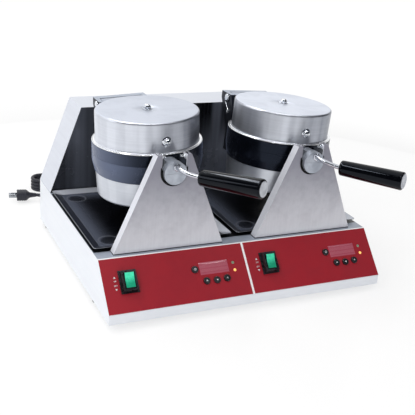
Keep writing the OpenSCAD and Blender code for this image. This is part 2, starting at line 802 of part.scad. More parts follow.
module upper_cover(side) {
    color("lightgray") unit(side) translate([0, 0, upper_plate_t]) difference() {
        rotate_extrude($fn = 96) union() {
            cup_section(cover_r, cover_r, cover_h, cover_t);
            translate([cover_r - cover_t, 0]) square([plate_r - cover_r + cover_t - 0.3, flange_t]);
        }
        translate([0, 0, cover_h - cover_t - cut]) cylinder(cover_t + 2 * cut, r = stud_r + run);
        translate([0, -cover_r - cut, front_nut_z - upper_plate_t])
            rotate([-90, 0, 0]) cylinder(cover_t + 3 * cut, r = stud_r + run);
    }
}

module lower_cover(side) {
    color("gray") unit(side) translate([0, 0, -lower_plate_t]) mirror([0, 0, 1])
        rotate_extrude($fn = 96) cup_section(low_cover_r, low_cover_end_r, low_cover_h, cover_t);
}

module element(side, z, up) {
    color("dimgray") unit(side) translate([0, 0, z]) mirror([0, 0, up < 0 ? 1 : 0]) {
        rotate([0, 0, 100]) rotate_extrude(angle = 340, $fn = 96)
            translate([element_ring_r, 0]) circle(element_r, $fn = 48);
        for (a = [74, 106])
            rotate([0, 0, a]) translate([element_ring_r, 0, 0]) cylinder(element_leg, r = element_r - 1);
    }
}

module trunnion(side, low, face_holes) {
    color("lightgray") unit(side) difference() {
        rotate([90, 0, 0]) union() {
            translate([0, 0, trunnion_y - trunnion_l]) cylinder(trunnion_l, r = trunnion_r);
            translate([0, 0, pad_y]) intersection() {
                cylinder(trunnion_y - pad_y - 1, r = trunnion_r - 1);
                translate([-neck_w, -trunnion_r, 0]) cube([neck_w * 2, trunnion_r * 2, trunnion_y]);
            }
        }
        translate([-plate_r, -trunnion_y - cut, low ? -plate_gap / 2 : plate_gap / 2 - plate_r])
            cube([2 * plate_r, plate_r, plate_r]);
        if (face_holes)
            translate(rod_start) rotate([-90, 0, 0])
                translate([0, 0, -cut]) cylinder(rod_socket + cut, r = rod_r + 0.05);
    }
}

module yoke_side() {
    polygon([
        [yoke_y, -yoke_low], [yoke_y + yoke_t, -yoke_low], [yoke_y + yoke_t, -shoulder_z],
        [pin_y + ear_l, pin_z - pin_r], [pin_y + ear_l, pin_z + ear_h], [pin_y - ear_front, pin_z + ear_h],
        [pin_y - 2.1 * ear_front, pin_z - 1.2 * ear_front], [yoke_y - pin_r, -shoulder_z],
        [yoke_y, -shoulder_z - 1.5 * pin_r]
    ]);
}

module yoke(side) {
    boss_y = yoke_y + yoke_t - 2;
    color("#2b2d33") unit(side) difference() {
        union() {
            across(-yoke_w, -yoke_w + cheek_t) yoke_side();
            across(yoke_w - cheek_t, yoke_w) yoke_side();
            translate([-yoke_w + 1, yoke_y, -yoke_low]) cube([2 * yoke_w - 2, yoke_t, yoke_low - 3]);
            translate([-yoke_w + 1, pin_y + ear_l / 2 - 1, pin_z + ear_h - bridge_t])
                cube([2 * yoke_w - 2, ear_l / 2 + 1, bridge_t]);
            translate([0, boss_y, 0]) rotate([-90, 0, 0]) cylinder(boss_l, r = shaft_r + 6);
        }
        translate([0, boss_y, 0]) rotate([-90, 0, 0]) cylinder(boss_l + cut, r = shaft_r + 0.05);
        translate([0, pin_y, pin_z]) rotate([0, 90, 0]) cylinder(4 * yoke_w, r = pin_r + 0.05, center = true);
    }
}

module shaft(side) {
    start = yoke_y + yoke_t - 2;
    end = hood_y - head_y + 40;
    collar = hood_y + sheet + 10 - head_y + fit;
    color("silver") unit(side) rotate([-90, 0, 0]) difference() {
        union() {
            translate([0, 0, start]) cylinder(end - start, r = shaft_r);
            translate([0, 0, collar]) cylinder(6, r = shaft_r + 4);
        }
        translate([0, 0, start - cut]) cylinder(end, r = shaft_bore_r);
    }
}

module spring_coil() {
    r = pin_r + 2.2 + spring_wire_r;
    pitch = 2 * spring_wire_r + 0.5;
    path = [
        for (k = [0:14 * spring_turns])
            let (a = 360 * k / 14) [pitch * k / 14, r * cos(a), r * sin(a)]
    ];
    tube(path, spring_wire_r, 6, [0, 1, 0]);
}

module hinge_hardware(side) {
    color("whitesmoke") unit(side) translate([0, pin_y, pin_z]) {
        rotate([0, 90, 0]) cylinder(2 * yoke_w + 2 * run, r = pin_r, center = true);
        for (x = [-1, 1])
            translate([x * (yoke_w + run + 1.4), 0, 0]) rotate([0, 90, 0])
                cylinder(2.8, r = 2 * pin_r, center = true);
        translate([-arm_w - fit - (2 * spring_wire_r + 0.5) * spring_turns - spring_wire_r, 0, 0])
            spring_coil();
    }
}

module hinge_arm(side) {
    pad = plate_r + 3.5;
    color("#2b2d33") unit(side) difference() {
        union() {
            across(-arm_w + 2, arm_w - 2)
                polygon([
                    [pad, plate_gap / 2 + 1], [pad + 5, plate_gap / 2 + 1], [pin_y + 5.5, pin_z - 6],
                    [pin_y - 6, pin_z + 6], [pad, upper_plate_t - 2]
                ]);
            translate([0, pin_y, pin_z]) rotate([0, 90, 0]) cylinder(2 * arm_w, r = barrel_r, center = true);
        }
        translate([0, pin_y, pin_z]) rotate([0, 90, 0]) cylinder(4 * arm_w, r = pin_r + run, center = true);
    }
}

module rod_nut() {
    rotate([90, 0, 0]) difference() {
        cylinder(3, r = rod_r + 3, $fn = 6);
        translate([0, 0, -cut]) cylinder(3 + 2 * cut, r = rod_r + run);
    }
}

module handle_rod(side) {
    n = 14;
    bend = [for (k = [0:n]) bezier(rod_free, rod_bend_1, rod_bend_2, grip_start, k / n)];
    color("whitesmoke") unit(side) {
        tube(concat([rod_start + [0, rod_socket - 1, 0]], bend, [grip_start + (grip_l + 0.6) * grip_dir]),
            rod_r, 12, [1, 0, 0]);
        translate(rod_start - [0, 0.2, 0]) rod_nut();
        translate(grip_start) grip_frame() translate([0, 0, grip_l]) cylinder(1.2, r = grip_end_r - 3);
    }
}

// Turns +Z into the grip's direction
module grip_frame() {
    rotate([0, 0, -grip_angle]) rotate([0, 90 - grip_rise, 0]) children();
}

module handle_grip(side) {
    color("#101014") unit(side) translate(grip_start) grip_frame() difference() {
        union() {
            cylinder(2, r1 = grip_r - 2, r2 = grip_r);
            translate([0, 0, 2]) cylinder(grip_l - 3, r1 = grip_r, r2 = grip_end_r);
            translate([0, 0, grip_l - 1]) cylinder(1, r1 = grip_end_r, r2 = grip_end_r - 1);
        }
        translate([0, 0, -cut]) cylinder(grip_l + 2 * cut, r = rod_r + run);
    }
}

module dome_nut() {
    rim = 2.5;
    cylinder(rim, r = nut_r);
    translate([0, 0, rim]) rotate_extrude() intersection() {
        scale([1, 1]) circle(nut_r, $fn = 48);
        square([nut_r, nut_h - rim]);
    }
}

module cap_nuts(side) {
    color("whitesmoke") unit(side) {
        translate([0, 0, upper_plate_t + cover_h]) dome_nut();
        translate([0, 0, plate_web]) cylinder(upper_plate_t + cover_h - plate_web, r = stud_r);
        translate([0, -cover_r - 0.35, front_nut_z]) rotate([90, 0, 0]) dome_nut();
        translate([0, -cover_r - 0.35, front_nut_z]) rotate([-90, 0, 0]) cylinder(8, r = stud_r);
    }
}

module lower_plate_left() { lower_plate(-1); }
module lower_cover_left() { lower_cover(-1); }
module lower_trunnion_left() { trunnion(-1, true, false); }
module yoke_left() { yoke(-1); }
module shaft_left() { shaft(-1); }
module lower_element_left() { element(-1, -plate_web - element_r - fit, -1); }
module hinge_hardware_left() { hinge_hardware(-1); }
module upper_plate_left() { upper_plate(-1); }
module upper_cover_left() { upper_cover(-1); }
module upper_trunnion_left() { trunnion(-1, false, true); }
module hinge_arm_left() { hinge_arm(-1); }
module upper_element_left() { element(-1, plate_web + element_r + fit, 1); }
module handle_rod_left() { handle_rod(-1); }
module handle_grip_left() { handle_grip(-1); }
module cap_nuts_left() { cap_nuts(-1); }

module lower_plate_right() { lower_plate(1); }
module lower_cover_right() { lower_cover(1); }
module lower_trunnion_right() { trunnion(1, true, false); }
module yoke_right() { yoke(1); }
module shaft_right() { shaft(1); }
module lower_element_right() { element(1, -plate_web - element_r - fit, -1); }
module hinge_hardware_right() { hinge_hardware(1); }
module upper_plate_right() { upper_plate(1); }
module upper_cover_right() { upper_cover(1); }
module upper_trunnion_right() { trunnion(1, false, true); }
module hinge_arm_right() { hinge_arm(1); }
module upper_element_right() { element(1, plate_web + element_r + fit, 1); }
module handle_rod_right() { handle_rod(1); }
module handle_grip_right() { handle_grip(1); }
module cap_nuts_right() { cap_nuts(1); }

// ---------------------------------------------------------------- mains lead

module gland() {
    color("black") placed() translate([-gland_x, base_d, gland_z]) rotate([-90, 0, 0]) difference() {
        union() {
            translate([0, 0, -sheet - 4]) cylinder(sheet + 4, r = cord_r * 2);
            cylinder(4, r = cord_r * 3);
            translate([0, 0, 4]) cylinder(36, r1 = cord_r * 2, r2 = cord_r * 1.4);
        }
        translate([0, 0, -sheet - 4 - cut]) cylinder(4 + sheet, r = cord_r);
    }
}

module cord() {
    color("black") placed() {
        tube(cord_out, cord_r, 10, [1, 0, 0]);
        tube(cord_back, cord_r, 10, [0, 1, 0]);
    }
}

module cord_hank() {
    r = (hank_y[1] - hank_y[0]) / 2;
    color("black") placed() translate([0, 0, -foot_h]) linear_extrude(hank_h) union() {
        for (x = [hank_x[0] + r, hank_x[1] - r]) translate([x, hank_y[0] + r]) circle(r);
        translate([hank_x[0] + r, hank_y[0]]) square([hank_x[1] - hank_x[0] - 2 * r, 2 * r]);
    }
}

// A moulded two-blade plug that looks along +X
module plug_body() {
    rotate([0, 90, 0]) cylinder(12, r1 = cord_r + 0.6, r2 = cord_r + 2.2);
    translate([12, 0, 0]) hull() {
        translate([0, 0, 0]) rotate([0, 90, 0]) cylinder(0.5, r = 6.5, $fn = 24);
        translate([9, 0, 0]) rotate([0, 90, 0]) cylinder(0.5, r = 13, $fn = 24);
        translate([27, 0, 0]) rotate([0, 90, 0]) cylinder(0.5, r = 13.5, $fn = 24);
    }
}

module plug() {
    color("black") placed() translate(plug_at) rotate([0, 0, plug_turn]) {
        plug_body();
        for (y = [-6.35, 6.35])
            translate([39.5, y, 0]) translate([0, -0.75, -3.2]) cube([16, 1.5, 6.4]);
    }
}

base_shell();
bottom_plate();
hood();
hood_back();
feet();
control_overlays();
display_windows();
switch_bezels();
indicator_lamps();
control_boards();
rocker_left();
rocker_right();
key_left_1();
key_left_2();
key_left_3();
key_left_4();
key_right_1();
key_right_2();
key_right_3();
key_right_4();
tray_left();
tray_right();
pillar_left();
pillar_right();
stop_screws();
bearings();
gland();
cord();
cord_hank();
plug();
lower_plate_left();
lower_cover_left();
lower_trunnion_left();
yoke_left();
shaft_left();
lower_element_left();
hinge_hardware_left();
upper_plate_left();
upper_cover_left();
upper_trunnion_left();
hinge_arm_left();
upper_element_left();
handle_rod_left();
handle_grip_left();
cap_nuts_left();
lower_plate_right();
lower_cover_right();
lower_trunnion_right();
yoke_right();
shaft_right();
lower_element_right();
hinge_hardware_right();
upper_plate_right();
upper_cover_right();
upper_trunnion_right();
hinge_arm_right();
upper_element_right();
handle_rod_right();
handle_grip_right();
cap_nuts_right();
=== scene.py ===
"""Dressing for a double waffle cone maker: its finishes, its fine pieces and a plain stage.

Lengths inside the functions are millimetres in the machine's own frame: x across, y from the front edge
of the base to its back, z up from the base's underside. placed() turns them into metres in the row's frame.
"""

import math

import bmesh
import bpy
import numpy as np
from mathutils import Matrix


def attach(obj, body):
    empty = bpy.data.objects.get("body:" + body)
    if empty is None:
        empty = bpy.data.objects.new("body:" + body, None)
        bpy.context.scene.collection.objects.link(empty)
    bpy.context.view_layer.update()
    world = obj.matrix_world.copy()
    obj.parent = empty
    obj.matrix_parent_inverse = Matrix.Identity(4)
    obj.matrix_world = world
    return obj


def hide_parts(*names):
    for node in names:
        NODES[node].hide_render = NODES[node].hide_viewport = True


bl_info = {
    "name": "Waffle Cone Maker Dressing",
    "version": (1, 0, 0),
    "blender": (4, 5, 0),
    "location": "3D View > Sidebar > Cone Maker",
    "description": "Finishes, fine pieces and a stage for a double waffle cone maker",
    "category": "Add Mesh",
}

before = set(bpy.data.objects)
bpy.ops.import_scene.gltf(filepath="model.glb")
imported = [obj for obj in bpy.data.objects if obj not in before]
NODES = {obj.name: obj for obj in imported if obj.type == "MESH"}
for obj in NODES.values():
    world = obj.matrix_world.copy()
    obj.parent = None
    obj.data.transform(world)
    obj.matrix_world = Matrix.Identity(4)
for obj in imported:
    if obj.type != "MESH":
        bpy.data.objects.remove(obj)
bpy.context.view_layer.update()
SIDES = (("left", -1), ("right", 1))

# The machine's sizes, as its source has them
BASE_W, BASE_D, BASE_H = 500, 440, 83
STRIP_H, PANEL_RUN = 16.5, 62.7
FOOT_H, MID_Y = 10, 179.99165
HOOD_Y, HOOD_Z = 360, 245
UNIT_X, HEAD_Y, AXIS_Z, TILT = 126.5, 191.4, 215, 3
PLATE_R, UPPER_T, LOWER_T = 93.5, 19, 31
COVER_R, COVER_H = 87.5, 52
LOW_R, LOW_END_R, LOW_H = 88, 86, 43
TRAY_W, TRAY_Y, TRAY_BORDER, TRAY_CORNER_R = 245, (88, 355), 15, 6
TRUNNION_Y = 127.4
PILLAR_Y = 70.7
ROD_START = np.array([2, -TRUNNION_Y, 10.5])
GRIP_START = np.array([23, -TRUNNION_Y - 45.6, 6.2])
GRIP_ANGLE, GRIP_RISE, GRIP_L = 56.7, 3.2, 107
PIN_Y, PIN_Z, PIN_R = 124, 48, 4
YOKE_W, ARM_W = 48, 24
OVERLAY_T, OVERLAY_END = 0.8, 91
KEY_SPOTS = ((155.6, 54.5), (171.9, 33.3), (190.2, 32.6), (208.7, 33.6))
DISPLAY_SPOT, DISPLAY_SIZE = (190, 54.5), (52, 21)
SWITCH_SPOT, ROCKER_RISE = (41, 49.5), 8
LAMPS_MIDDLE = 52
KEY_R, KEY_H = 5.8, 2.6
CORD_R, GLAND_X, GLAND_Z = 3.5, 120, 30

PANEL_ANGLE = math.atan2(BASE_H - STRIP_H, PANEL_RUN)


# ---------------------------------------------------------------- frames


def placed(points):
    """Millimetres in the machine's frame become metres in the row's frame, by one shift."""
    return (np.asarray(points, float) + (0, -MID_Y, FOOT_H)) / 1000


def turned(points, axis, degrees):
    """Points turned about x, y or z through the origin."""
    return np.asarray(points, float) @ np.array(Matrix.Rotation(math.radians(degrees), 3, axis)).T


def on_head(points, side):
    """Points of a head, whose middle is 0 and whose plates meet at z = 0, leaned by the rest tilt and put in
    place."""
    return placed(turned(points, "Y", side * TILT) + (side * UNIT_X, HEAD_Y, AXIS_Z))


def on_panel(points, side, x, s):
    """Points laid on the slanted panel: x from the half's outer edge, s up the slope, z off the panel's face."""
    edge = -BASE_W / 2 if side < 0 else 0
    spot = (edge + x, s * math.cos(PANEL_ANGLE), STRIP_H + s * math.sin(PANEL_ANGLE))
    return placed(turned(points, "X", math.degrees(PANEL_ANGLE)) + spot)


def along_grip(points):
    """Points of the grip, whose axis is z, turned to its real direction and moved to its start on the head."""
    return turned(turned(points, "Y", 90 - GRIP_RISE), "Z", -GRIP_ANGLE) + GRIP_START


# ---------------------------------------------------------------- surfaces


def quads(rows, cols, wrap_rows=False, wrap_cols=False):
    """Faces of a grid of rows x cols points, each joined to its next neighbours; a wrapped way is closed to a
    ring."""
    i, j = np.meshgrid(
        np.arange(rows if wrap_rows else rows - 1), np.arange(cols if wrap_cols else cols - 1), indexing="ij"
    )
    i1, j1 = (i + 1) % rows, (j + 1) % cols
    return np.stack([i * cols + j, i * cols + j1, i1 * cols + j1, i1 * cols + j], -1).reshape(-1, 4)


def smooth(t):
    """Slow start and slow end between 0 and 1: 3t^2 - 2t^3."""
    t = np.clip(t, 0, 1)
    return t * t * (3 - 2 * t)


def arc(centre, radius, start, end, count):
    """Points (count, 2) on an arc about centre, from start to end degrees."""
    a = np.radians(np.linspace(start, end, count))
    return np.stack([centre[0] + radius * np.cos(a), centre[1] + radius * np.sin(a)], -1)


def revolve(profile, segments=96, closed=True):
    """A profile of (radius, height) carried round the z axis: (r cos a, r sin a, h)."""
    profile = np.asarray(profile, float)
    a = np.linspace(0, 2 * np.pi, segments, endpoint=False)
    r, h = profile[:, :1], profile[:, 1:]
    points = np.stack([r * np.cos(a), r * np.sin(a), h + 0 * a], -1).reshape(-1, 3)
    return points, quads(len(profile), segments, closed, True)


def ways(path):
    """Unit tangents of a path, and two unit normals carried along it with as little turn as each step allows."""
    t = np.gradient(path, axis=0)
    t /= np.linalg.norm(t, axis=1)[:, None]
    n = np.empty_like(t)
    seed = np.array([0.0, 0, 1]) if abs(t[0, 2]) < 0.9 else np.array([1.0, 0, 0])
    for k, way in enumerate(t):
        seed = seed - (seed @ way) * way
        seed = seed / np.linalg.norm(seed)
        n[k] = seed
    return t, n, np.cross(t, n)


def tube(path, radius, segments=16, ends=True):
    """A circle of the given radius, one number or one for each point, carried along a path. Its ends close to
    points."""
    path = np.asarray(path, float)
    radius = np.broadcast_to(np.asarray(radius, float), (len(path),))
    _, n, b = ways(path)
    if ends:
        path, n, b = (np.concatenate([v[:1], v, v[-1:]]) for v in (path, n, b))
        radius = np.concatenate([[0], radius, [0]])
    a = np.linspace(0, 2 * np.pi, segments, endpoint=False)[:, None]
    around = np.cos(a) * n[:, None] + np.sin(a) * b[:, None]
    points = path[:, None] + radius[:, None, None] * around
    return points.reshape(-1, 3), quads(len(path), segments, False, True)


def rounded_outline(half_x, half_y, radius, count):
    """count points round a rectangle with rounded corners, evenly spaced in each corner and along each side."""
    corners = [(half_x - radius, half_y - radius, 0), (radius - half_x, half_y - radius, 90)]
    corners += [(radius - half_x, radius - half_y, 180), (half_x - radius, radius - half_y, 270)]
    bends = [arc(c[:2], radius, c[2], c[2] + 90, count // 8) for c in corners]
    runs = [
        np.linspace(bends[k][-1], bends[(k + 1) % 4][0], count // 8 + 2)[1:-1] for k in range(4)
    ]
    return np.concatenate([part for pair in zip(bends, runs) for part in pair])


def layered(sections, closed=False):
    """Sections of one number of points each, joined in their order. A section shrunk to a point closes an end."""
    sections = np.asarray(sections, float)
    return sections.reshape(-1, 3), quads(sections.shape[0], sections.shape[1], closed, True)


def joined(*parts):
    """Several (points, faces) pairs as one."""
    points, faces, start = [], [], 0
    for p, f in parts:
        points.append(p)
        faces.append(np.asarray(f) + start)
        start += len(p)
    return np.concatenate(points), np.concatenate(faces)


def prism(outline, low, high):
    """An outline (n, 2), counterclockwise, given a height, with its ends drawn in to their middles."""
    outline = np.asarray(outline, float)
    middle = np.broadcast_to(outline.mean(0), outline.shape)
    rings = [(middle, low), (outline, low), (outline, high), (middle, high)]
    return layered([np.column_stack([o, np.full(len(o), z)]) for o, z in rings])


STROKES = {
    "O": ((0, 0, 0, 1), (0, 1, 0.7, 1), (0.7, 1, 0.7, 0), (0.7, 0, 0, 0)),
    "N": ((0, 0, 0, 1), (0, 1, 0.7, 0), (0.7, 0, 0.7, 1)),
    "F": ((0, 0, 0, 1), (0, 1, 0.65, 1), (0, 0.52, 0.52, 0.52)),
}


def word(text, size, low, height):
    """A short printed word about the origin: each stroke is a bar from point to point of its letter's box."""
    bars, width = [], size * (len(text) - 0.3)
    for k, letter in enumerate(text):
        for x0, y0, x1, y1 in STROKES[letter]:
            start, end = np.array([x0, y0]) * size, np.array([x1, y1]) * size
            outline = rounded_outline(math.dist(start, end) / 2 + 0.18, 0.2, 0.18, 16)
            shape = prism(outline, low, low + height)
            lean = math.degrees(math.atan2(*(end - start)[::-1]))
            middle = (start + end) / 2 + (k * size - width / 2, -size / 2)
            bars.append((turned(shape[0], "Z", lean) + (*middle, 0), shape[1]))
    return joined(*bars)


def regular(count, radius, turn=0):
    """A regular polygon's corners, each side cut into four so that later bevels stay even."""
    a = np.radians(turn) + np.linspace(0, 2 * np.pi, count, endpoint=False)
    corners = radius * np.stack([np.cos(a), np.sin(a)], -1)
    t = np.linspace(0, 1, 4, endpoint=False)[None, :, None]
    return (corners[:, None] * (1 - t) + np.roll(corners, -1, 0)[:, None] * t).reshape(-1, 2)


# ---------------------------------------------------------------- pieces


def give(obj, material):
    """Puts one material in every slot of the object."""
    if not obj.material_slots:
        obj.data.materials.append(material)
    for place in obj.material_slots:
        place.material = material


def piece(name, shape, body, material, replaces=(), soft_edges=None, wall=None):
    """A mesh object from (points in metres, faces), riding on a body. Doubles at poles and seams are merged and faces
    turned outwards."""
    points, faces = shape
    mesh = bpy.data.meshes.new(name)
    mesh.from_pydata(points.tolist(), [], faces.tolist())
    work = bmesh.new()
    work.from_mesh(mesh)
    bmesh.ops.remove_doubles(work, verts=work.verts, dist=2e-7)
    bmesh.ops.dissolve_degenerate(work, edges=work.edges, dist=1e-7)
    bmesh.ops.recalc_face_normals(work, faces=work.faces)
    work.to_mesh(mesh)
    work.free()
    mesh.polygons.foreach_set("use_smooth", np.ones(len(mesh.polygons), bool))
    obj = bpy.data.objects.new(name, mesh)
    bpy.context.scene.collection.objects.link(obj)
    give(obj, material)
    if wall:
        solid = obj.modifiers.new("Wall", "SOLIDIFY")
        solid.thickness, solid.offset = wall, -1
    if soft_edges:
        round_edges(obj, soft_edges)
    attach(obj, body)
    if replaces:
        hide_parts(*replaces)
    return obj


def round_edges(obj, width, segments=3, angle=30):
    """Rounds the object's sharp edges with a bevel and evens the shading of the flats beside them."""
    bevel = obj.modifiers.new("Rounded edges", "BEVEL")
    bevel.width, bevel.segments, bevel.limit_method = width / 1000, segments, "ANGLE"
    bevel.angle_limit = math.radians(angle)
    bevel.miter_outer = "MITER_ARC"
    even = obj.modifiers.new("Even shading", "WEIGHTED_NORMAL")
    even.weight, even.keep_sharp = 80, True


def finish_node(name, material, width=None, segments=3, angle=30, flatten=True):
    """Gives a CAD node its material, and modifiers that weld its triangles, merge its flats and round its edges."""
    obj = NODES[name]
    give(obj, material)
    obj.data.polygons.foreach_set("use_smooth", np.ones(len(obj.data.polygons), bool))
    weld = obj.modifiers.new("Weld", "WELD")
    weld.merge_threshold = 1e-5
    if flatten:
        flat = obj.modifiers.new("Flats", "DECIMATE")
        flat.decimate_type, flat.angle_limit = "DISSOLVE", math.radians(0.4)
    if width:
        round_edges(obj, width, segments, angle)
    else:
        split = obj.modifiers.new("Sharp edges", "EDGE_SPLIT")
        split.split_angle = math.radians(angle)
    return obj


# ---------------------------------------------------------------- shader nodes


def node(tree, kind, values=None, **settings):
    """Adds a node. values fills its inputs by name or number: a field or a socket is linked, anything else is set."""
    made = tree.nodes.new("ShaderNode" + kind)
    for name, value in settings.items():
        setattr(made, name, value)
    for name, value in (values or {}).items():
        if isinstance(value, (Field, bpy.types.NodeSocket)):
            tree.links.new(getattr(value, "socket", value), made.inputs[name])
        else:
            made.inputs[name].default_value = value
    return made


class Field:
    """A number or a mask that changes over a surface. Arithmetic on it adds Math nodes to its tree."""

    def __init__(self, tree, socket):
        self.tree, self.socket = tree, socket

    def math(self, operation, *others, clamp=False):
        made = node(self.tree, "Math", dict(enumerate((self, *others))), operation=operation, use_clamp=clamp)
        return Field(self.tree, made.outputs[0])

    def __add__(self, other):
        return self.math("ADD", other)

    def __sub__(self, other):
        return self.math("SUBTRACT", other)

    def __rsub__(self, other):
        return self * -1.0 + other

    def __mul__(self, other):
        return self.math("MULTIPLY", other)

    def __abs__(self):
        return self.math("ABSOLUTE")

    def step(self, low, high, start=0.0, end=1.0):
        """A smooth step from start, where the field is low, to end, where it is high."""
        values = {0: self, 1: low, 2: high, 3: start, 4: end}
        return Field(self.tree, node(self.tree, "MapRange", values, interpolation_type="SMOOTHSTEP").outputs[0])


def noise(tree, vector, scale, detail=3.0, roughness=0.5, distortion=0.0):
    """A Noise texture's value."""
    values = {"Vector": vector, "Scale": scale, "Detail": detail, "Roughness": roughness, "Distortion": distortion}
    return Field(tree, node(tree, "TexNoise", values).outputs[0])


def parts(tree, vector):
    """A vector's three parts."""
    return [Field(tree, socket) for socket in node(tree, "SeparateXYZ", {0: vector}).outputs]


def distance(x, y):
    """The length of a flat vector from its two parts."""
    return (x * x + y * y).math("SQRT")


def linear(colour):
    """A colour written as 0-255 screen values, as the linear one a shader takes."""
    c = np.asarray(colour, float) / 255
    c = np.where(c <= 0.04045, c / 12.92, ((c + 0.055) / 1.055) ** 2.4)
    return (*c, 1.0)


def mixed(tree, factor, a, b):
    """A mix of two colours, each a socket, four linear values or three screen values."""
    a, b = (linear(c) if not isinstance(c, bpy.types.NodeSocket) and len(c) == 3 else c for c in (a, b))
    return node(tree, "Mix", {0: factor, 6: a, 7: b}, data_type="RGBA").outputs[2]


def rays(tree, *kinds):
    """1 where a light ray is of one of the kinds, 0 elsewhere."""
    seen = node(tree, "LightPath").outputs
    total = Field(tree, seen[f"Is {kinds[0]} Ray"])
    for kind in kinds[1:]:
        total = total.math("ADD", seen[f"Is {kind} Ray"], clamp=True)
    return total


def group(name, inputs, build):
    """A shader node group. inputs are its numbers' labels and defaults, after a Vector; build gives its outputs."""
    tree = bpy.data.node_groups.new(name, "ShaderNodeTree")
    tree.interface.new_socket("Vector", in_out="INPUT", socket_type="NodeSocketVector")
    for label, default in inputs.items():
        tree.interface.new_socket(label, in_out="INPUT", socket_type="NodeSocketFloat").default_value = default
    vector, *numbers = list(tree.nodes.new("NodeGroupInput").outputs)[:len(inputs) + 1]
    results = build(tree, vector, *(Field(tree, socket) for socket in numbers))
    for label in results:
        tree.interface.new_socket(label, in_out="OUTPUT", socket_type="NodeSocketFloat")
    shown = tree.nodes.new("NodeGroupOutput").inputs
    for label, value in results.items():
        tree.links.new(value.socket, shown[label])


def brushed_grain(tree, vector):
    """Fine scratches: a vector that is already stretched along them gives a height, and a slow streak mask."""
    fine, finer = noise(tree, vector, 1.0, 2.0, 0.6), noise(tree, vector, 2.7, 2.0, 0.6)
    return {"Height": fine * 0.6 + finer * 0.4, "Streaks": noise(tree, vector, 0.22, 2.0).step(0.32, 0.68)}


def turned_grain(tree, vector, fineness, drift):
    """Scratches left by a lathe round the z axis: a centred vector becomes (radius, height) at a fine scale, with a
    slow change round the axis."""
    x, y, z = parts(tree, vector)
    drift_x, drift_y = x * drift, y * drift
    stretched = node(
        tree, "CombineXYZ", {0: distance(x, y) * fineness + drift_x, 1: z * fineness + drift_y, 2: drift_x}
    )
    inner = node(tree, "Group", {"Vector": stretched.outputs[0]}, node_tree=bpy.data.node_groups["Brushed grain"])
    return {label: Field(tree, inner.outputs[label]) for label in ("Height", "Streaks")}


def smudges(tree, vector, scale):
    """Faint cloudy handling marks: a broad noise, broken by a finer one."""
    broad, fine = noise(tree, vector, scale, 3.0, 0.55, 0.6), noise(tree, vector, 120.0, 2.0)
    return {"Mask": (broad * 0.8 + fine * 0.2).step(0.4, 0.64)}


def cast_skin(tree, vector, scale):
    """The pebbled skin of sand-cast and coated metal: cells and a noise give a height, and a cloudy mask."""
    values = {"Vector": vector, "Scale": scale, "Smoothness": 1.0}
    cells = Field(tree, node(tree, "TexVoronoi", values, feature="SMOOTH_F1").outputs[0])
    grains, clouds = (noise(tree, vector, scale * share, 3.0, 0.6) for share in (1.7, 0.08))
    return {"Height": cells * 0.5 + grains * 0.5, "Clouds": clouds.step(0.35, 0.65)}


def make_groups():
    """Builds each shared group once."""
    for name, inputs, build in (
        ("Brushed grain", {}, brushed_grain), ("Turned grain", {"Fineness": 900.0, "Drift": 9.0}, turned_grain),
        ("Smudges", {"Scale": 22.0}, smudges), ("Cast skin", {"Scale": 700.0}, cast_skin),
    ):
        if name not in bpy.data.node_groups:
            group(name, inputs, build)


class Finish:
    """A material in the making. plain sets the Principled shader's sockets that are the same all over."""

    def __init__(self, name, **plain):
        self.made = bpy.data.materials.new(name)
        self.made.use_nodes = True
        self.tree = self.made.node_tree
        self.shader = self.tree.nodes["Principled BSDF"]
        for label, value in plain.items():
            self.shader.inputs[label.replace("_", " ")].default_value = value

    def spot(self, place=(0, 0, 0), turn=(0, 0, 0), scale=(1, 1, 1)):
        """Object coordinates with a point moved to 0, then turned (degrees) and scaled."""
        spot = node(self.tree, "TexCoord").outputs["Object"]
        for values in (
            {"Location": [-v for v in place]}, {"Rotation": [math.radians(v) for v in turn]}, {"Scale": scale}
        ):
            spot = node(self.tree, "Mapping", {"Vector": spot, **values}).outputs[0]
        return spot

    def axes(self, point=(0, 0, 0), turn=(0, 0, 0)):
        """Millimetres across, in and up from a point of the machine."""
        return self.parts(self.spot(placed([point])[0], turn, (1000, 1000, 1000)))

    def parts(self, vector):
        return parts(self.tree, vector)

    def normal(self):
        """The three parts of the surface's normal."""
        return self.parts(node(self.tree, "TexCoord").outputs["Normal"])

    def noise(self, vector, *values):
        return noise(self.tree, vector, *values)

    def mix(self, factor, a, b):
        return mixed(self.tree, factor, a, b)

    def group(self, name, vector, **values):
        """A shared group's outputs by name."""
        made = node(self.tree, "Group", {"Vector": vector, **values}, node_tree=bpy.data.node_groups[name])
        return {label: Field(self.tree, socket) for label, socket in made.outputs.items()}

    def brushed(self, *scale):
        """Brushed grain along the least of three scales."""
        return self.group("Brushed grain", self.spot(scale=scale))

    def marks(self, vector, scale):
        return self.group("Smudges", vector, Scale=scale)["Mask"]

    def end(self, colour, rough, height=None, depth=0.0, distance=0.0002, glow=None):
        """Links the colour, the roughness, the bump and the glow, and gives the material."""
        values = {"Base Color": colour, "Roughness": rough, "Emission Color": glow}
        if height is not None:
            relief = node(self.tree, "Bump", {"Height": height, "Strength": depth, "Distance": distance})
            values["Normal"] = relief.outputs[0]
        for label, value in values.items():
            if value is not None:
                self.tree.links.new(getattr(value, "socket", value), self.shader.inputs[label])
        return self.made


def head_spot(look, side):
    """A head's own coordinates in metres: its middle is 0, its plates meet at z = 0 and its rest tilt is undone."""
    return look.spot(on_head([(0, 0, 0)], side)[0], (0, -side * TILT, 0))


def towards(x, y, degrees):
    """How far a point lies from the axis in one direction."""
    return x * math.cos(math.radians(degrees)) + y * math.sin(math.radians(degrees))


# ---------------------------------------------------------------- finishes

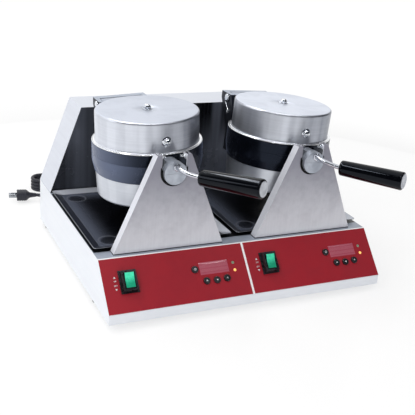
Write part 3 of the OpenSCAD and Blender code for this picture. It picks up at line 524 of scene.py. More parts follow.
COOL_GLOSS = (0.55, 0.68, 1.0, 1)
SHADOW_GAP = (24, 26, 32)
# Painted shadow on the base's flat top below the trays.
TRAY_SHADOW_COLOUR = (18, 19, 24)
# Painted shade on a tray's underside and outer edge.
UNDERSIDE_SHADE = (10, 11, 14)
# Painted highlight on the base's front bend and on the seam between the films.
PAINTED_HIGHLIGHT = (252, 253, 255)
# Painted highlight on a cover's rolled rim.
PAINTED_HIGHLIGHT_RIM = (248, 250, 253)
# White of the film's printed line by the seam, and of the painted highlight along its upper edge.
FILM_PRINT_AND_HIGHLIGHT = (250, 251, 253)
# Painted reflection on a tray's back and right slopes.
FAR_SLOPE_REFLECTION = (208, 212, 222)


def brushed_sheet(name, colour, dark, rough, metallic, contrast=0.5, over=None):
    """Sheet steel brushed along one way: stretched scratches in height and roughness, slow streaks and smudges in
    colour. over, where given, lays more on the colour."""
    look = Finish(name, Metallic=metallic)
    scratches, marks = look.brushed(9, 9, 900), look.marks(look.spot(), 9.0)
    tone = scratches["Streaks"] * (0.6 * contrast) + marks * (0.4 * contrast)
    sheet = look.mix(tone, colour, dark)
    if over:
        sheet = over(look, sheet)
    uneven = scratches["Height"] * 0.08 + marks * 0.03
    return look.end(sheet, uneven + (rough - 0.05), scratches["Height"], 0.03)


def base_zones(look, sheet, deck):
    """The base's whole flat top is painted a darker blue grey as a painted reflection, and near black below the trays
    as a painted shadow; the bend in front of it and the seam between the panel's films carry a painted highlight."""
    x, y, z = look.axes()
    flat = z.step(BASE_H - 0.5, BASE_H - 0.1)
    # Painted reflection: the whole flat top is painted a darker blue grey.
    sheet = look.mix(flat, sheet, deck)
    # Painted highlight along the bend and on the seam between the films.
    bend = abs(y - PANEL_RUN).step(1.9, 1.4) * z.step(BASE_H - 4, BASE_H - 3)
    seam = abs(x).step(3, 2) * y.step(PANEL_RUN, PANEL_RUN - 1) * z.step(STRIP_H + 0.4, STRIP_H + 0.8)
    # Painted shadow: the flat top below the trays is painted near black.
    rows = y.step(TRAY_Y[0] - 0.4, TRAY_Y[0] + 0.4) * y.step(TRAY_Y[1] + 0.4, TRAY_Y[1] - 0.4)
    tray_shadow = rows * abs(x).step(BASE_W / 2 - 0.6, BASE_W / 2 - 1.2)
    sheet = look.mix(tray_shadow * flat, sheet, TRAY_SHADOW_COLOUR)
    return look.mix(bend.math("MAXIMUM", seam), sheet, PAINTED_HIGHLIGHT)


def pillar_steel(looks, side):
    """A pillar's brushed sheet: greyer towards its top as painted shade, paler on its folded flanges as a painted
    highlight, with a painted shadow line where its foot stands."""
    look = Finish(f"Pillar steel {'left' if side < 0 else 'right'}", Metallic=0.25)
    spot = look.spot(placed([(side * UNIT_X, 0, BASE_H)])[0])
    upright, marks = look.brushed(1500, 9, 60), look.marks(spot, 7.0)
    height = look.axes()[2] - BASE_H
    # Painted shade: the face is painted darker towards its top.
    face = look.mix((height + marks * 30).step(10, 150), looks.pillar_low, looks.pillar_high)
    face = look.mix(upright["Streaks"] * 0.07, face, looks.pillar_high)
    # Painted highlight: the sideways faces, the flanges, are painted paler.
    face = look.mix(abs(look.normal()[0]).step(0.3, 0.75), face, looks.pillar_edge)
    face = look.mix(height.step(1.8, 1.2), face, SHADOW_GAP)
    return look.end(face, upright["Height"] * 0.06 + 0.38, upright["Height"], 0.003)


def hood_steel(looks):
    """The hood's steel: pale on its sides, top and back; on the wall behind the heads a painted reflection, dark with
    upright streaks and painted brighter between the heads."""
    look = Finish("Hood steel", Metallic=0.3)
    x, y, z = look.axes()
    front = y.step(HOOD_Y + 0.6, HOOD_Y + 1.2, 1.0, 0.0)
    across, upright = look.brushed(9, 9, 900), look.brushed(420, 20, 7)
    off = abs(x - 83)
    # Painted reflection: a brighter glow between the heads, broad patches and upright streaks on the dark wall.
    rubbed = (off.step(50, 15) * z.step(230, 140)).math("MAXIMUM", off.step(14, 5))
    broad = look.noise(look.spot(scale=(13, 1, 1.6)), 1.0, 2.0, 0.5).step(0.5, 0.72)
    glow = (upright["Streaks"] * 0.12 + broad * 0.3).math("ADD", rubbed * 0.5, clamp=True)
    wall = look.mix(glow, looks.wall_dark, looks.wall_light)
    pale = look.mix(across["Streaks"] * 0.3, looks.hood, looks.steel_shade)
    rough = look.marks(look.spot(), 9.0) * 0.04 + (front * -0.06 + 0.3)
    return look.end(look.mix(front, pale, wall), rough, across["Height"], 0.03)


def turned_steel(name, side, colour, dark, flat):
    """Spun steel of a head's covers: fine scratches run round the head's axis, one side is painted darker as painted
    shade, the rolled rim is smoother and carries a painted highlight, and the flat top is wiped to an even satin."""
    rough, rim_rough = 0.31, 0.12
    # Painted shade: each head is painted darker round its axis away from the facing direction, up to the share given.
    facing, wide, narrow, share = (-159, -0.25, 0.88, 0.68) if side < 0 else (-131, 0.45, 1.08, 0.6)
    look = Finish(name, Metallic=0.85)
    spot = head_spot(look, side)
    scratches, marks = look.group("Turned grain", spot, Fineness=1500.0), look.marks(spot, 16.0)
    round_it = node(look.tree, "Mapping", {"Vector": spot, "Scale": (30, 30, 1.2)}).outputs[0]
    x, y, height = look.parts(spot)
    bright = towards(x, y, facing) * (1000 / COVER_R) + look.noise(round_it, 1.0, 3.0, 0.5) * 0.5
    painted_shade_bands = (bright - 0.25).step(narrow, wide)
    end = (UPPER_T + COVER_H) / 1000
    top = height.step(end - 0.0009, end - 0.0002)
    # Painted highlight on the rolled rim, which is also smoother.
    bead = height.step((UPPER_T + 2.3) / 1000, (UPPER_T + 1.7) / 1000) * height.step(0, 0.001)
    tone = scratches["Streaks"] * 0.07 + marks * 0.06 + painted_shade_bands * share
    tone = tone + look.noise(round_it, 1.3, 2.0, 0.5).step(0.45, 0.6) * 0.14
    body = look.mix(top, look.mix(tone, colour, dark), look.mix(marks * 0.1, flat, dark))
    uneven = scratches["Height"] * 0.06 + marks * 0.04 + top * 0.12 + (bead * -rim_rough + rough)
    relief = scratches["Height"] * (top * -0.9 + 1.0)
    return look.end(look.mix(bead, body, PAINTED_HIGHLIGHT_RIM), uneven, relief, 0.014)


def cloudy(look, spot, skin_scale, marks_scale=30.0):
    """A cast skin, the mask of its handling marks, and the clouds of both together."""
    skin, marks = look.group("Cast skin", spot, Scale=skin_scale), look.marks(spot, marks_scale)
    return skin, marks, skin["Clouds"] * 0.6 + marks * 0.4


def cast_metal(name, colour, dark, rough, metallic, scale, depth):
    """Cast metal: pebbled height, cloudy colour, roughness that follows both."""
    look = Finish(name, Metallic=metallic, Specular_IOR_Level=0.5)
    skin, marks, tone = cloudy(look, look.spot(), scale)
    return look.end(look.mix(tone, colour, dark), marks * 0.12 + (rough - 0.06), skin["Height"], depth)


def plate_coating(looks, side):
    """The plates' dark coating: pebbled height and rubbed clouds; on the left head the side away from its neighbour
    carries a blue grey painted reflection, most of all on the lower plate."""
    look = Finish(
        f"Plate coating {'left' if side < 0 else 'right'}", Specular_IOR_Level=0.3, Specular_Tint=COOL_GLOSS,
        Sheen_Weight=0.4 if side < 0 else 0.15, Sheen_Roughness=0.3, Sheen_Tint=linear((176, 190, 228)),
    )
    spot = head_spot(look, side)
    skin, marks, tone = cloudy(look, spot, 700.0)
    coat = look.mix(tone, looks.plate, looks.plate_worn)
    # Painted reflection: the left head's side away from its neighbour is painted blue grey.
    if side < 0:
        x, y, z = look.parts(spot)
        lower = z.step(0.0006, -0.0006)
        past = towards(x, y, -168) - (lower * -0.034 + 0.052)
        dull = past.math("DIVIDE", lower * 0.026 + 0.044, clamp=True)
        coat = look.mix(dull * dull, coat, looks.plate_dull)
    return look.end(coat, marks * 0.12 + 0.18, skin["Height"], 0.05)


def faced_casting(name, side, colour, dark, faced, start):
    """A black casting whose upper faces are machined: above a height on the head it turns to bare satin metal with
    cutter marks."""
    look = Finish(name, Specular_IOR_Level=0.3, Specular_Tint=COOL_GLOSS)
    spot = head_spot(look, side)
    skin = look.group("Cast skin", spot, Scale=380.0)
    cuts = look.group(
        "Brushed grain", node(look.tree, "Mapping", {"Vector": spot, "Scale": (12, 900, 12)}).outputs[0]
    )
    bare = look.parts(spot)[2].step((start - 0.3) / 1000, start / 1000)
    metal = look.mix(cuts["Streaks"] * 0.4, faced, [c * 0.8 for c in faced])
    black = look.mix(skin["Clouds"], colour, dark)
    relief = look.mix(bare, skin["Height"].socket, cuts["Height"].socket)
    return look.end(look.mix(bare, black, metal), skin["Clouds"] * 0.1 + 0.32, relief, 0.2)


def bright_metal(name, colour, dark, rough=0.1, metallic=1.0):
    """Polished or plated metal: faint smudges and fine wiping marks."""
    look = Finish(name, Metallic=metallic)
    marks = look.marks(look.spot(), 60.0)
    return look.end(
        look.mix(marks, colour, dark), marks * 0.1 + (rough - 0.04), look.brushed(300, 60, 300)["Height"], 0.02
    )


def moulded(name, colour, dark, rough, depth=0.1, scale=1500.0, **plain):
    """Moulded plastic or rubber: a fine spark-eroded texture, with rubbed and dusty clouds."""
    look = Finish(name, **plain)
    spot = look.spot()
    skin, marks = look.group("Cast skin", spot, Scale=scale), look.marks(spot, 45.0)
    return look.end(look.mix(marks, colour, dark), marks * 0.12 + (rough - 0.05), skin["Height"], depth)


def tray_steel(looks, side):
    """A tray's polished sheet, its colours painted reflections: near black in its middle, paler towards the edges of
    its bottom, a satin slope, dark at the front and left and pale at the back and right, painted highlight lines
    along its rim and its inner fold, painted shade and a painted highlight ring in each pressed foot, and painted
    shade beneath."""
    look = Finish(f"Tray steel {'left' if side < 0 else 'right'}", Metallic=0.4)
    x, y, z = look.axes((side * UNIT_X, sum(TRAY_Y) / 2, BASE_H + 0.3))
    half_x, half_y, inner = TRAY_W / 2, (TRAY_Y[1] - TRAY_Y[0]) / 2, TRAY_BORDER
    edge = (half_x - abs(x)).math("MINIMUM", half_y - abs(y))
    # Painted reflection: the bottom is painted near black in its middle and paler towards its edges.
    pale = edge.step(inner + 55, inner)
    bottom = look.mix(pale * pale, looks.tray_bottom, looks.tray_mark)
    inset, foot_r = looks.foot_inset * 1000, looks.foot_radius * 1000
    # Painted shade inside each pressed foot, and a painted highlight ring round it.
    away = distance(abs(x) - (half_x - inset), abs(y) - (half_y - inset))
    bottom = look.mix(away.step(foot_r - 3, foot_r - 7) * 0.7, bottom, looks.tray_bottom)
    bottom = look.mix(abs(away - (foot_r - 1)).step(2, 0.8) * 0.25, bottom, looks.tray_rim)
    fold = edge.step(inner - 1.2, inner - 0.4) * edge.step(inner + 1.6, inner + 0.8)
    slope = edge.step(inner, inner - 0.8)
    # Painted reflection: the slopes at the back and right are pale, the others dark.
    far = (half_y - y).math("MINIMUM", half_x - x).step(inner, inner - 0.8)
    top = look.mix(slope, bottom, look.mix(far, looks.tray_border, FAR_SLOPE_REFLECTION))
    # Painted highlight along the rim, and faintly along the inner fold.
    top = look.mix(z.step(6.2, 6.5).math("MAXIMUM", fold * 0.15), top, looks.tray_rim)
    # Painted shade on the underside and along the outer edge.
    under = look.normal()[2].step(-0.05, -0.25).math("MAXIMUM", edge.step(0.4, 0.2))
    wiped = look.brushed(8, 260, 8)
    rough = wiped["Streaks"] * 0.06 + (slope * 0.1 + 0.2)
    return look.end(look.mix(under, top, UNDERSIDE_SHADE), rough, wiped["Height"], 0.012)


def overlay_film(looks):
    """The panel's printed film: an even red with a fine matt grain, a little darker where fingers rub it, a thin
    white line along its upper edge as a painted highlight of the fold, and a thin printed white line beside the seam."""
    look = Finish("Overlay film", Specular_IOR_Level=0.25)
    spot = look.spot()
    marks = look.marks(spot, 24.0)
    red = look.mix(marks * 0.45, looks.film, looks.film_worn)
    x, _, height = look.axes()
    end = STRIP_H + OVERLAY_T * math.cos(PANEL_ANGLE) + OVERLAY_END * math.sin(PANEL_ANGLE)
    # The line along the upper edge is a painted highlight of the fold; the line beside the seam is print.
    white = height.step(end - 0.8, end - 0.5).math("MAXIMUM", abs(x).step(2.1, 1.8))
    grain = look.noise(spot, 2600.0, 2.0, 0.6)
    return look.end(look.mix(white, red, FILM_PRINT_AND_HIGHLIGHT), marks * 0.08 + 0.46, grain, 0.06, 0.0001)


def panel_axes(look, side, place):
    """Millimetres from a spot of the panel: across, up its slope and off its face."""
    middle = on_panel([(0, 0, 0)], side, *place)[0]
    return look.spot(middle, (-math.degrees(PANEL_ANGLE), 0, 0), (1000, 1000, 1000))


def display_glass(looks, side):
    """A display's tinted window: a pink field with the faint square dots of its cells, and a darker border."""
    look = Finish(f"Display window {'left' if side < 0 else 'right'}", Coat_Weight=0.6, Coat_Roughness=0.05)
    x, y, _ = look.parts(panel_axes(look, side, DISPLAY_SPOT))
    dots = x.math("PINGPONG", 0.65).step(0.1, 0.3) * y.math("PINGPONG", 0.65).step(0.1, 0.3)
    border = abs(x).step(24.9, 25.4).math("MAXIMUM", abs(y).step(9.4, 9.9))
    lit = dots * y.math("PINGPONG", 3.4).step(0.5, 0.9) * (border * -1.0 + 1.0)
    field = look.mix(lit * 0.14, looks.display, looks.display_dot)
    return look.end(look.mix(border, field, looks.display_edge), lit * 0.08 + 0.22)


def lit_rocker(looks, side):
    """A rocker with a lit lens let into its black rim: a rounded field in the rocker's plane, brighter at its
    heart. The left lens glows brighter than the right as a painted highlight."""
    look = Finish(
        f"Rocker {'left' if side < 0 else 'right'}", Coat_Weight=0.6, Coat_Roughness=0.06,
        # The left lens glows brighter than the right: a painted highlight.
        Emission_Strength=0.35 if side < 0 else 0.12,
    )
    spot = panel_axes(look, side, SWITCH_SPOT)
    x, up, off = look.parts(spot)
    rim = abs(x).step(7.2, 7.8).math("MAXIMUM", abs(up).step(11.4, 12.0))
    lens = (rim * -1.0 + 1.0) * off.step(ROCKER_RISE + 1.0, ROCKER_RISE + 1.8)
    heart = up.step(-9.0, 9.0) + look.noise(spot, 0.35, 2.0, 0.5)
    green = look.mix(heart.step(0.4, 1.7), looks.rocker, looks.rocker_bright)
    glow = look.mix(lens, (0, 0, 0, 1), green)
    return look.end(look.mix(lens, looks.rocker_dark, green), heart * 0.06 + 0.16, glow=glow)


def lamp_lens(looks):
    """The signal lamps' lenses: green for the upper ones, lit amber for the lower ones, told apart by their
    height."""
    look = Finish("Lamp lenses", Coat_Weight=0.6, Coat_Roughness=0.05, Emission_Strength=0.6)
    spot = look.spot()
    split = STRIP_H + LAMPS_MIDDLE * math.sin(PANEL_ANGLE)
    upper = look.axes()[2].step(split - 0.5, split + 0.5)
    grain = look.noise(spot, 900.0, 2.0)
    shade = look.mix(upper, looks.lamp_amber, looks.lamp_green)
    glow = look.mix(upper, shade, (0, 0, 0, 1))
    return look.end(look.mix(grain * 0.3, shade, (1, 1, 1, 1)), grain * 0.1 + 0.15, glow=glow)


def circuit_board():
    """Solder resist on glass cloth: a fine woven grid and paler tracks."""
    look = Finish("Circuit board", Coat_Weight=0.3)
    spot = look.spot()
    tracks = node(look.tree, "TexBrick", {"Vector": spot, "Scale": 160.0, "Mortar Size": 0.06}).outputs["Fac"]
    cloth = look.noise(spot, 1500.0, 2.0)
    return look.end(look.mix(tracks, (24, 74, 42), (70, 130, 84)), cloth * 0.2 + 0.35, cloth, 0.1, 0.0001)


def lead_jacket(looks):
    """The mains lead's soft jacket: a fine skin over slow dull clouds."""
    look = Finish("Lead jacket")
    spot = look.spot()
    broad = look.noise(spot, 40.0, 2.0)
    shade = look.mix(broad, looks.lead, looks.lead_worn)
    return look.end(shade, broad * 0.15 + 0.42, look.noise(spot, 1400.0, 3.0, 0.6), 0.12)


SHARED = {
    "Chrome": lambda name: bright_metal(name, (232, 235, 240), (205, 210, 218)),
    "Machined steel": lambda name: bright_metal(name, (188, 192, 198), (150, 154, 160), 0.28, 0.9),
    "Rod steel": lambda name: bright_metal(name, (206, 209, 217), (190, 194, 203), 0.2, 0.9),
    "Hinge plate steel": lambda name: brushed_sheet(name, (172, 179, 194), (150, 157, 172), 0.4, 0.3, 0.4),
    "Black moulding": lambda name: moulded(
        name, (18, 19, 27), (30, 31, 42), 0.4, Specular_IOR_Level=0.3, Specular_Tint=COOL_GLOSS
    ),
    # Black of the bearings' liners; the same black is the painted shadow band round each seat.
    "Bearing liner": lambda name: moulded(name, (10, 10, 12), (18, 18, 20), 0.5, Specular_IOR_Level=0.2),
    "White print": lambda name: moulded(name, (232, 234, 236), (214, 216, 220), 0.4, depth=0.03),
}


def shared(name):
    """A finish that several pieces share, made the first time it is asked for."""
    return bpy.data.materials.get(name) or SHARED[name](name)


# ---------------------------------------------------------------- sizes and colours a user may change


def length(label, text, value, low=0.0, high=1.0):
    """A length property in metres."""
    return bpy.props.FloatProperty(
        name=label, description=text, default=value, min=low, max=high, unit="LENGTH", precision=4
    )


def colour(label, text, value):
    """A colour property whose numbers are 0-255 screen values."""
    return bpy.props.FloatVectorProperty(name=label, description=text, size=3, default=value, min=0, max=255)


def power(label, text, value):
    """A lamp's power in watts."""
    return bpy.props.FloatProperty(name=label, description=text, default=value, min=0, unit="POWER")


class ConeMakerStage(bpy.types.PropertyGroup):
    """Stage settings."""

    floor_size: length("Floor size", "Half width of the floor", 12.0, 1.0, 40.0)
    key_power: power("Key lamp", "Power of the broad lamp at the left", 29.0)
    top_power: power("Top lamp", "Power of the lamp above", 22.0)
    side_power: power("Side lamp", "Power of the narrow lamp at the left", 6.0)
    strip_power: power("Strip lamp", "Power of the thin mirrored strip", 16.0)
    sky_light: bpy.props.FloatProperty(
        name="Room light", description="Strength of the even light from all round", default=0.62, min=0, max=2
    )
    room_front: colour("Room in front", "What polished metal shows of the room in front of the machine", (44, 47, 56))


class ConeMakerHousing(bpy.types.PropertyGroup):
    """Housing settings."""

    fold_radius: length("Fold radius", "Radius of the sheet steel's folded edges", 0.0012, 0.0001, 0.003)
    steel: colour("Steel", "Colour of the housing's steel", (234, 237, 243))
    steel_shade: colour("Steel streaks", "Colour of the streaks in the housing's steel", (222, 227, 236))
    # A painted reflection: the darker blue grey of the base's flat top.
    deck: colour("Deck", "Colour of the base's flat top", (164, 172, 186))
    hood: colour("Hood", "Colour of the hood's top and sides", (210, 214, 224))
    # The front wall's colours are a painted reflection.
    wall_dark: colour("Wall dark", "Darkest colour of the hood's front wall", (8, 9, 14))
    wall_light: colour("Wall light", "Lightest colour of the hood's front wall", (140, 146, 162))


class ConeMakerPanel(bpy.types.PropertyGroup):
    """Control panel settings."""

    print_height: length("Print height", "Thickness of the printed marks", 0.00008, 0.00002, 0.0005)
    film: colour("Film", "Colour of the panel's film", (156, 22, 38))
    film_worn: colour("Rubbed film", "Colour of the film where it is rubbed", (144, 24, 40))
    display: colour("Display", "Colour of a display's field", (172, 78, 96))
    display_dot: colour("Display dots", "Colour of a display's cells", (214, 150, 160))
    display_edge: colour("Display border", "Colour of a display's border", (190, 84, 106))
    rocker: colour("Rocker", "Colour of a lit rocker", (18, 140, 104))
    rocker_bright: colour("Rocker heart", "Colour of a lit rocker's brightest part", (70, 214, 170))
    rocker_dark: colour("Rocker base", "Colour of a rocker's black rim", (12, 20, 22))
    lamp_green: colour("Green lamp", "Colour of the unlit green lamps", (92, 116, 72))
    lamp_amber: colour("Amber lamp", "Colour of the lit amber lamps", (255, 186, 76))


class ConeMakerTrays(bpy.types.PropertyGroup):
    """Tray settings."""

    sheet: length("Sheet", "Thickness of a tray's sheet", 0.0008, 0.0003, 0.002)
    foot_radius: length("Foot radius", "Radius of a tray's pressed feet", 0.018, 0.008, 0.03)
    foot_inset: length("Foot inset", "Distance of the pressed feet from the tray's edges", 0.037, 0.02, 0.06)
    # The trays' colours are painted reflections and highlights of polished steel.
    tray_bottom: colour("Bottom", "Colour of a tray's bottom", (12, 13, 18))
    tray_mark: colour("Bottom's edge", "Paler colour of a tray's bottom near its edges", (104, 110, 126))
    tray_border: colour("Border", "Colour of a tray's sloped border", (52, 56, 68))
    tray_rim: colour("Rim", "Colour of a tray's rim", (168, 172, 182))


class ConeMakerHeads(bpy.types.PropertyGroup):
    """Settings of the turning heads."""

    rim_bead: length("Rim bead", "Radius of the rolled rim round an upper cover", 0.0009, 0.0004, 0.0012)
    wall: length("Wall", "Thickness of the covers' sheet", 0.0015, 0.0005, 0.003)
    cover: colour("Cover", "Colour of the upper covers", (226, 230, 239))
    # Dark colour of the covers' streaks, also the painted shade on one side.
    cover_shade: colour("Cover streaks", "Colour of the streaks on the upper covers", (116, 120, 132))
    # The pillars' face colours run from foot to top as painted shade.
    pillar_low: colour("Pillar foot", "Colour of a pillar near its foot", (212, 213, 220))
    pillar_high: colour("Pillar top", "Colour of a pillar near its top", (142, 142, 154))
    # Painted highlight on the pillars' folded flanges.
    pillar_edge: colour("Pillar flanges", "Colour of a pillar's folded flanges", (222, 224, 232))
    # The flat tops are lit and shaded copies of one colour: the left darker as painted shade, the right lighter as
    # painted light.
    top_left: colour("Left cover's top", "Colour of the left upper cover's flat top", (206, 211, 222))
    top_right: colour("Right cover's top", "Colour of the right upper cover's flat top", (226, 231, 242))
    low_cover: colour("Lower cover", "Colour of the lower covers", (214, 218, 226))
    # Dark colour of the lower covers' streaks, also the painted shade on one side.
    low_shade: colour("Lower streaks", "Colour of the streaks on the lower covers", (150, 156, 168))
    plate: colour("Plates", "Colour of the plates' coating", (6, 8, 13))
    plate_worn: colour("Rubbed plates", "Colour of the plates' coating where it is rubbed", (11, 13, 20))
    plate_dull: colour("Dulled coating", "Colour of the left plates' coating where it is dulled", (92, 100, 121))
    # Painted reflection on the left plates' outer side.
    cast: colour("Castings", "Colour of the cast trunnions", (194, 200, 210))
    cast_dark: colour("Casting clouds", "Darker colour of the cast trunnions", (160, 166, 178))
    yoke: colour("Yokes", "Colour of the black yoke castings", (30, 32, 38))
    yoke_dark: colour("Yoke clouds", "Darker colour of the yoke castings", (18, 19, 23))
    faced: colour("Machined faces", "Colour of the yokes' machined upper faces", (176, 184, 198))


class ConeMakerHandles(bpy.types.PropertyGroup):
    """Handle settings."""

    rod_radius: length("Rod radius", "Radius of a handle's rod", 0.0038, 0.002, 0.006)
    grip_inner: length("Inner radius", "Radius of a grip at its inner end", 0.0127, 0.008, 0.02)
    grip_outer: length("Outer radius", "Radius of a grip at its outer end", 0.0151, 0.008, 0.02)
    grip: colour("Grip", "Colour of the grips", (4, 5, 8))
    grip_worn: colour("Rubbed grip", "Colour of the grips where hands rub them", (8, 9, 12))
    disc: colour("End disc", "Colour of the discs at the grips' ends", (196, 200, 208))


class ConeMakerLead(bpy.types.PropertyGroup):
    """Mains lead settings."""

    radius: length("Radius", "Radius of the mains lead", 0.0035, 0.002, 0.006)
    length: length("Length", "Length of the mains lead from its gland to its plug", 1.77, 1.0, 3.0)
    tie_width: length("Tie width", "Width of the tie round the folded lead", 0.012, 0.004, 0.03)
    lead: colour("Jacket", "Colour of the lead's jacket", (24, 26, 36))
    lead_worn: colour("Worn jacket", "Colour of the lead's jacket where it is dull", (38, 40, 52))


# ---------------------------------------------------------------- stage


class CONE_OT_stage(bpy.types.Operator):
    """Sets the camera, a pale floor, the lamps and the even room light"""

    bl_idname = "cone.stage"
    bl_label = "Stage"

    def execute(self, context):
        looks = context.scene.cone_stage
        make_groups()
        self.camera(context.scene)
        self.floor(looks)
        self.lamps(looks)
        self.room(context.scene, looks)
        context.scene.view_settings.view_transform = "Standard"
        return {"FINISHED"}

    def camera(self, scene):
        """Stands at its point, turned right by yaw, down by pitch and leaned by roll about its own axis."""
        data = bpy.data.cameras.new("Camera")
        data.lens, data.sensor_width = 68.75, 36
        data.clip_end = 100
        camera = bpy.data.objects.new("Camera", data)
        scene.collection.objects.link(camera)
        yaw, pitch, roll = (math.radians(v) for v in (26.23, 21.53, 4.57))
        ahead = np.array([math.sin(yaw) * math.cos(pitch), math.cos(yaw) * math.cos(pitch), -math.sin(pitch)])
        right = np.array([math.cos(yaw), -math.sin(yaw), 0])
        up = np.cross(right, ahead)
        leaned_right = math.cos(roll) * right + math.sin(roll) * up
        leaned_up = -math.sin(roll) * right + math.cos(roll) * up
        place = np.eye(4)
        place[:3, :3] = np.stack([leaned_right, leaned_up, -ahead], 1)
        place[:3, 3] = placed([(-594.85, -1007.26, 623.4)])[0]
        camera.matrix_world = Matrix(place.tolist())
        scene.camera = camera

    def floor(self, looks):
        """A flat disc: rings of radius r, closer together near the machine, at z = 0."""
        rings = looks.floor_size * np.linspace(0, 1, 12) ** 2
        points, faces = revolve(np.column_stack([rings, 0 * rings]), 96, closed=False)
        mesh = bpy.data.meshes.new("floor")
        mesh.from_pydata(points.tolist(), [], faces.tolist())
        floor = bpy.data.objects.new("floor", mesh)
        bpy.context.scene.collection.objects.link(floor)
        look = Finish("Pale floor", Roughness=0.9, Specular_IOR_Level=0.1)
        tree, spot = look.tree, look.spot()
        clouds = look.mix(look.noise(spot, 3.0, 2.0), (0.86, 0.86, 0.86, 1), (0.89, 0.89, 0.89, 1))
        away = Field(tree, node(tree, "VectorMath", {0: spot}, operation="LENGTH").outputs["Value"])
        direct = rays(tree, "Camera", "Glossy", "Transmission")
        far = direct * away.step(0.5, 1.3)
        hidden = far.math("MAXIMUM", direct * 0.62)
        tree.links.new(look.mix(hidden, clouds, (0, 0, 0, 1)), look.shader.inputs["Base Color"])
        glow = node(tree, "Emission", {"Color": (1, 1, 1, 1), "Strength": far.math("MAXIMUM", direct * 0.67)})
        both = node(tree, "AddShader", {0: look.shader.outputs[0], 1: glow.outputs[0]})
        tree.links.new(both.outputs[0], tree.nodes["Material Output"].inputs["Surface"])
        give(floor, look.made)

    def lamps(self, looks):
        """A broad square key at the left in front that polished pieces don't mirror, a long narrow lamp above and a
        thin strip that is only mirrored, which draw fine lines along round pieces, and a soft one that brightens
        their left sides."""
        for name, place, aim, size, power, lights, mirrored in (
            ("Key lamp", (-1.9, -2.2, 1.9), (0, 0, 0.15), (1.8, 1.8), looks.key_power, True, False),
            ("Top lamp", (-0.9, 0.75, 2.3), (0, 0, 0.2), (2.6, 0.2), looks.top_power, True, True),
            ("Side lamp", (-2.3, 0.35, 1.1), (0, 0, 0.2), (1.0, 0.8), looks.side_power, True, True),
            ("Strip lamp", (0.1, -1.0, 2.4), (0, 0, 0.2), (3.0, 0.05), looks.strip_power, False, True),
        ):
            data = bpy.data.lights.new(name, "AREA")
            data.shape, data.size, data.size_y, data.energy = "RECTANGLE", *size, power
            lamp = bpy.data.objects.new(name, data)
            bpy.context.scene.collection.objects.link(lamp)
            lamp.visible_diffuse, lamp.visible_glossy = lights, mirrored
            away = Matrix.Translation(place).to_translation() - Matrix.Translation(aim).to_translation()
            lamp.matrix_world = Matrix.Translation(place) @ away.to_track_quat("Z", "Y").to_matrix().to_4x4()

    def room(self, scene, looks):
        """An even light for matt surfaces, white where it is seen, and for polished ones white behind and above the
        machine and dark in front of it, as in a studio."""
        world = bpy.data.worlds.new("Room")
        scene.world = world
        world.use_nodes = True
        tree = world.node_tree
        _, depth, height = parts(tree, node(tree, "TexCoord").outputs["Generated"])
        backdrop = mixed(tree, depth.step(0.5, 0.2) * height.step(0.93, 0.82), (1, 1, 1, 1), looks.room_front)
        seen = mixed(tree, rays(tree, "Glossy", "Transmission"), (1, 1, 1, 1), backdrop)
        direct = rays(tree, "Camera", "Glossy", "Transmission")
        strength = direct * (1.0 - looks.sky_light) + looks.sky_light
        shown = tree.nodes["Background"].inputs
        tree.links.new(seen, shown["Color"])
        tree.links.new(strength.socket, shown["Strength"])


# ---------------------------------------------------------------- mains lead

HANK_TURN_R, HANK_RUN, HANK_STEP, LEAD_BEND = 21, 120, 7.05, 28
HANK_LEFT, HANK_RIGHT, HANK_MID_Y = -201, -81, 627
FALL_START, FALL_END, FRONT_X, FRONT_Y = 480.2, 560, -148, 578
LEAD_LOW = -FOOT_H + CORD_R + 0.1
PLUG_AT, PLUG_TURN = np.array([-231.5, 557, 4]), 169


def hank_line(s):
    """The folded lead's line at a distance s from where it joins the front run at x = -148, heading left. Its plan is
    two straight runs and two half circles, taken clockwise; each round lies a lead's width on the last one, and the
    step up comes where the front run starts."""
    half, run = math.pi * HANK_TURN_R, HANK_RUN
    first = FRONT_X - HANK_LEFT
    total = 2 * (half + run)
    turn, t = np.floor(s / total), s % total
    marks = np.cumsum([0, first, half, run, half, run - first])
    x, y = np.empty_like(t), np.empty_like(t)
    for k in range(5):
        on = (t >= marks[k]) & (t <= marks[k + 1])
        u = t[on] - marks[k]
        if k in (0, 4):
            x[on], y[on] = (FRONT_X if k == 0 else HANK_RIGHT) - u, HANK_MID_Y - HANK_TURN_R
        elif k == 2:
            x[on], y[on] = HANK_LEFT + u, HANK_MID_Y + HANK_TURN_R
        else:
            a = u / HANK_TURN_R
            middle, way = (HANK_LEFT, -1) if k == 1 else (HANK_RIGHT, 1)
            x[on] = middle + way * HANK_TURN_R * np.sin(a)
            y[on] = HANK_MID_Y + way * HANK_TURN_R * np.cos(a)
    climb = smooth((t - marks[4]) / 40)
    return np.column_stack([x, y, LEAD_LOW + HANK_STEP * (turn + climb)])


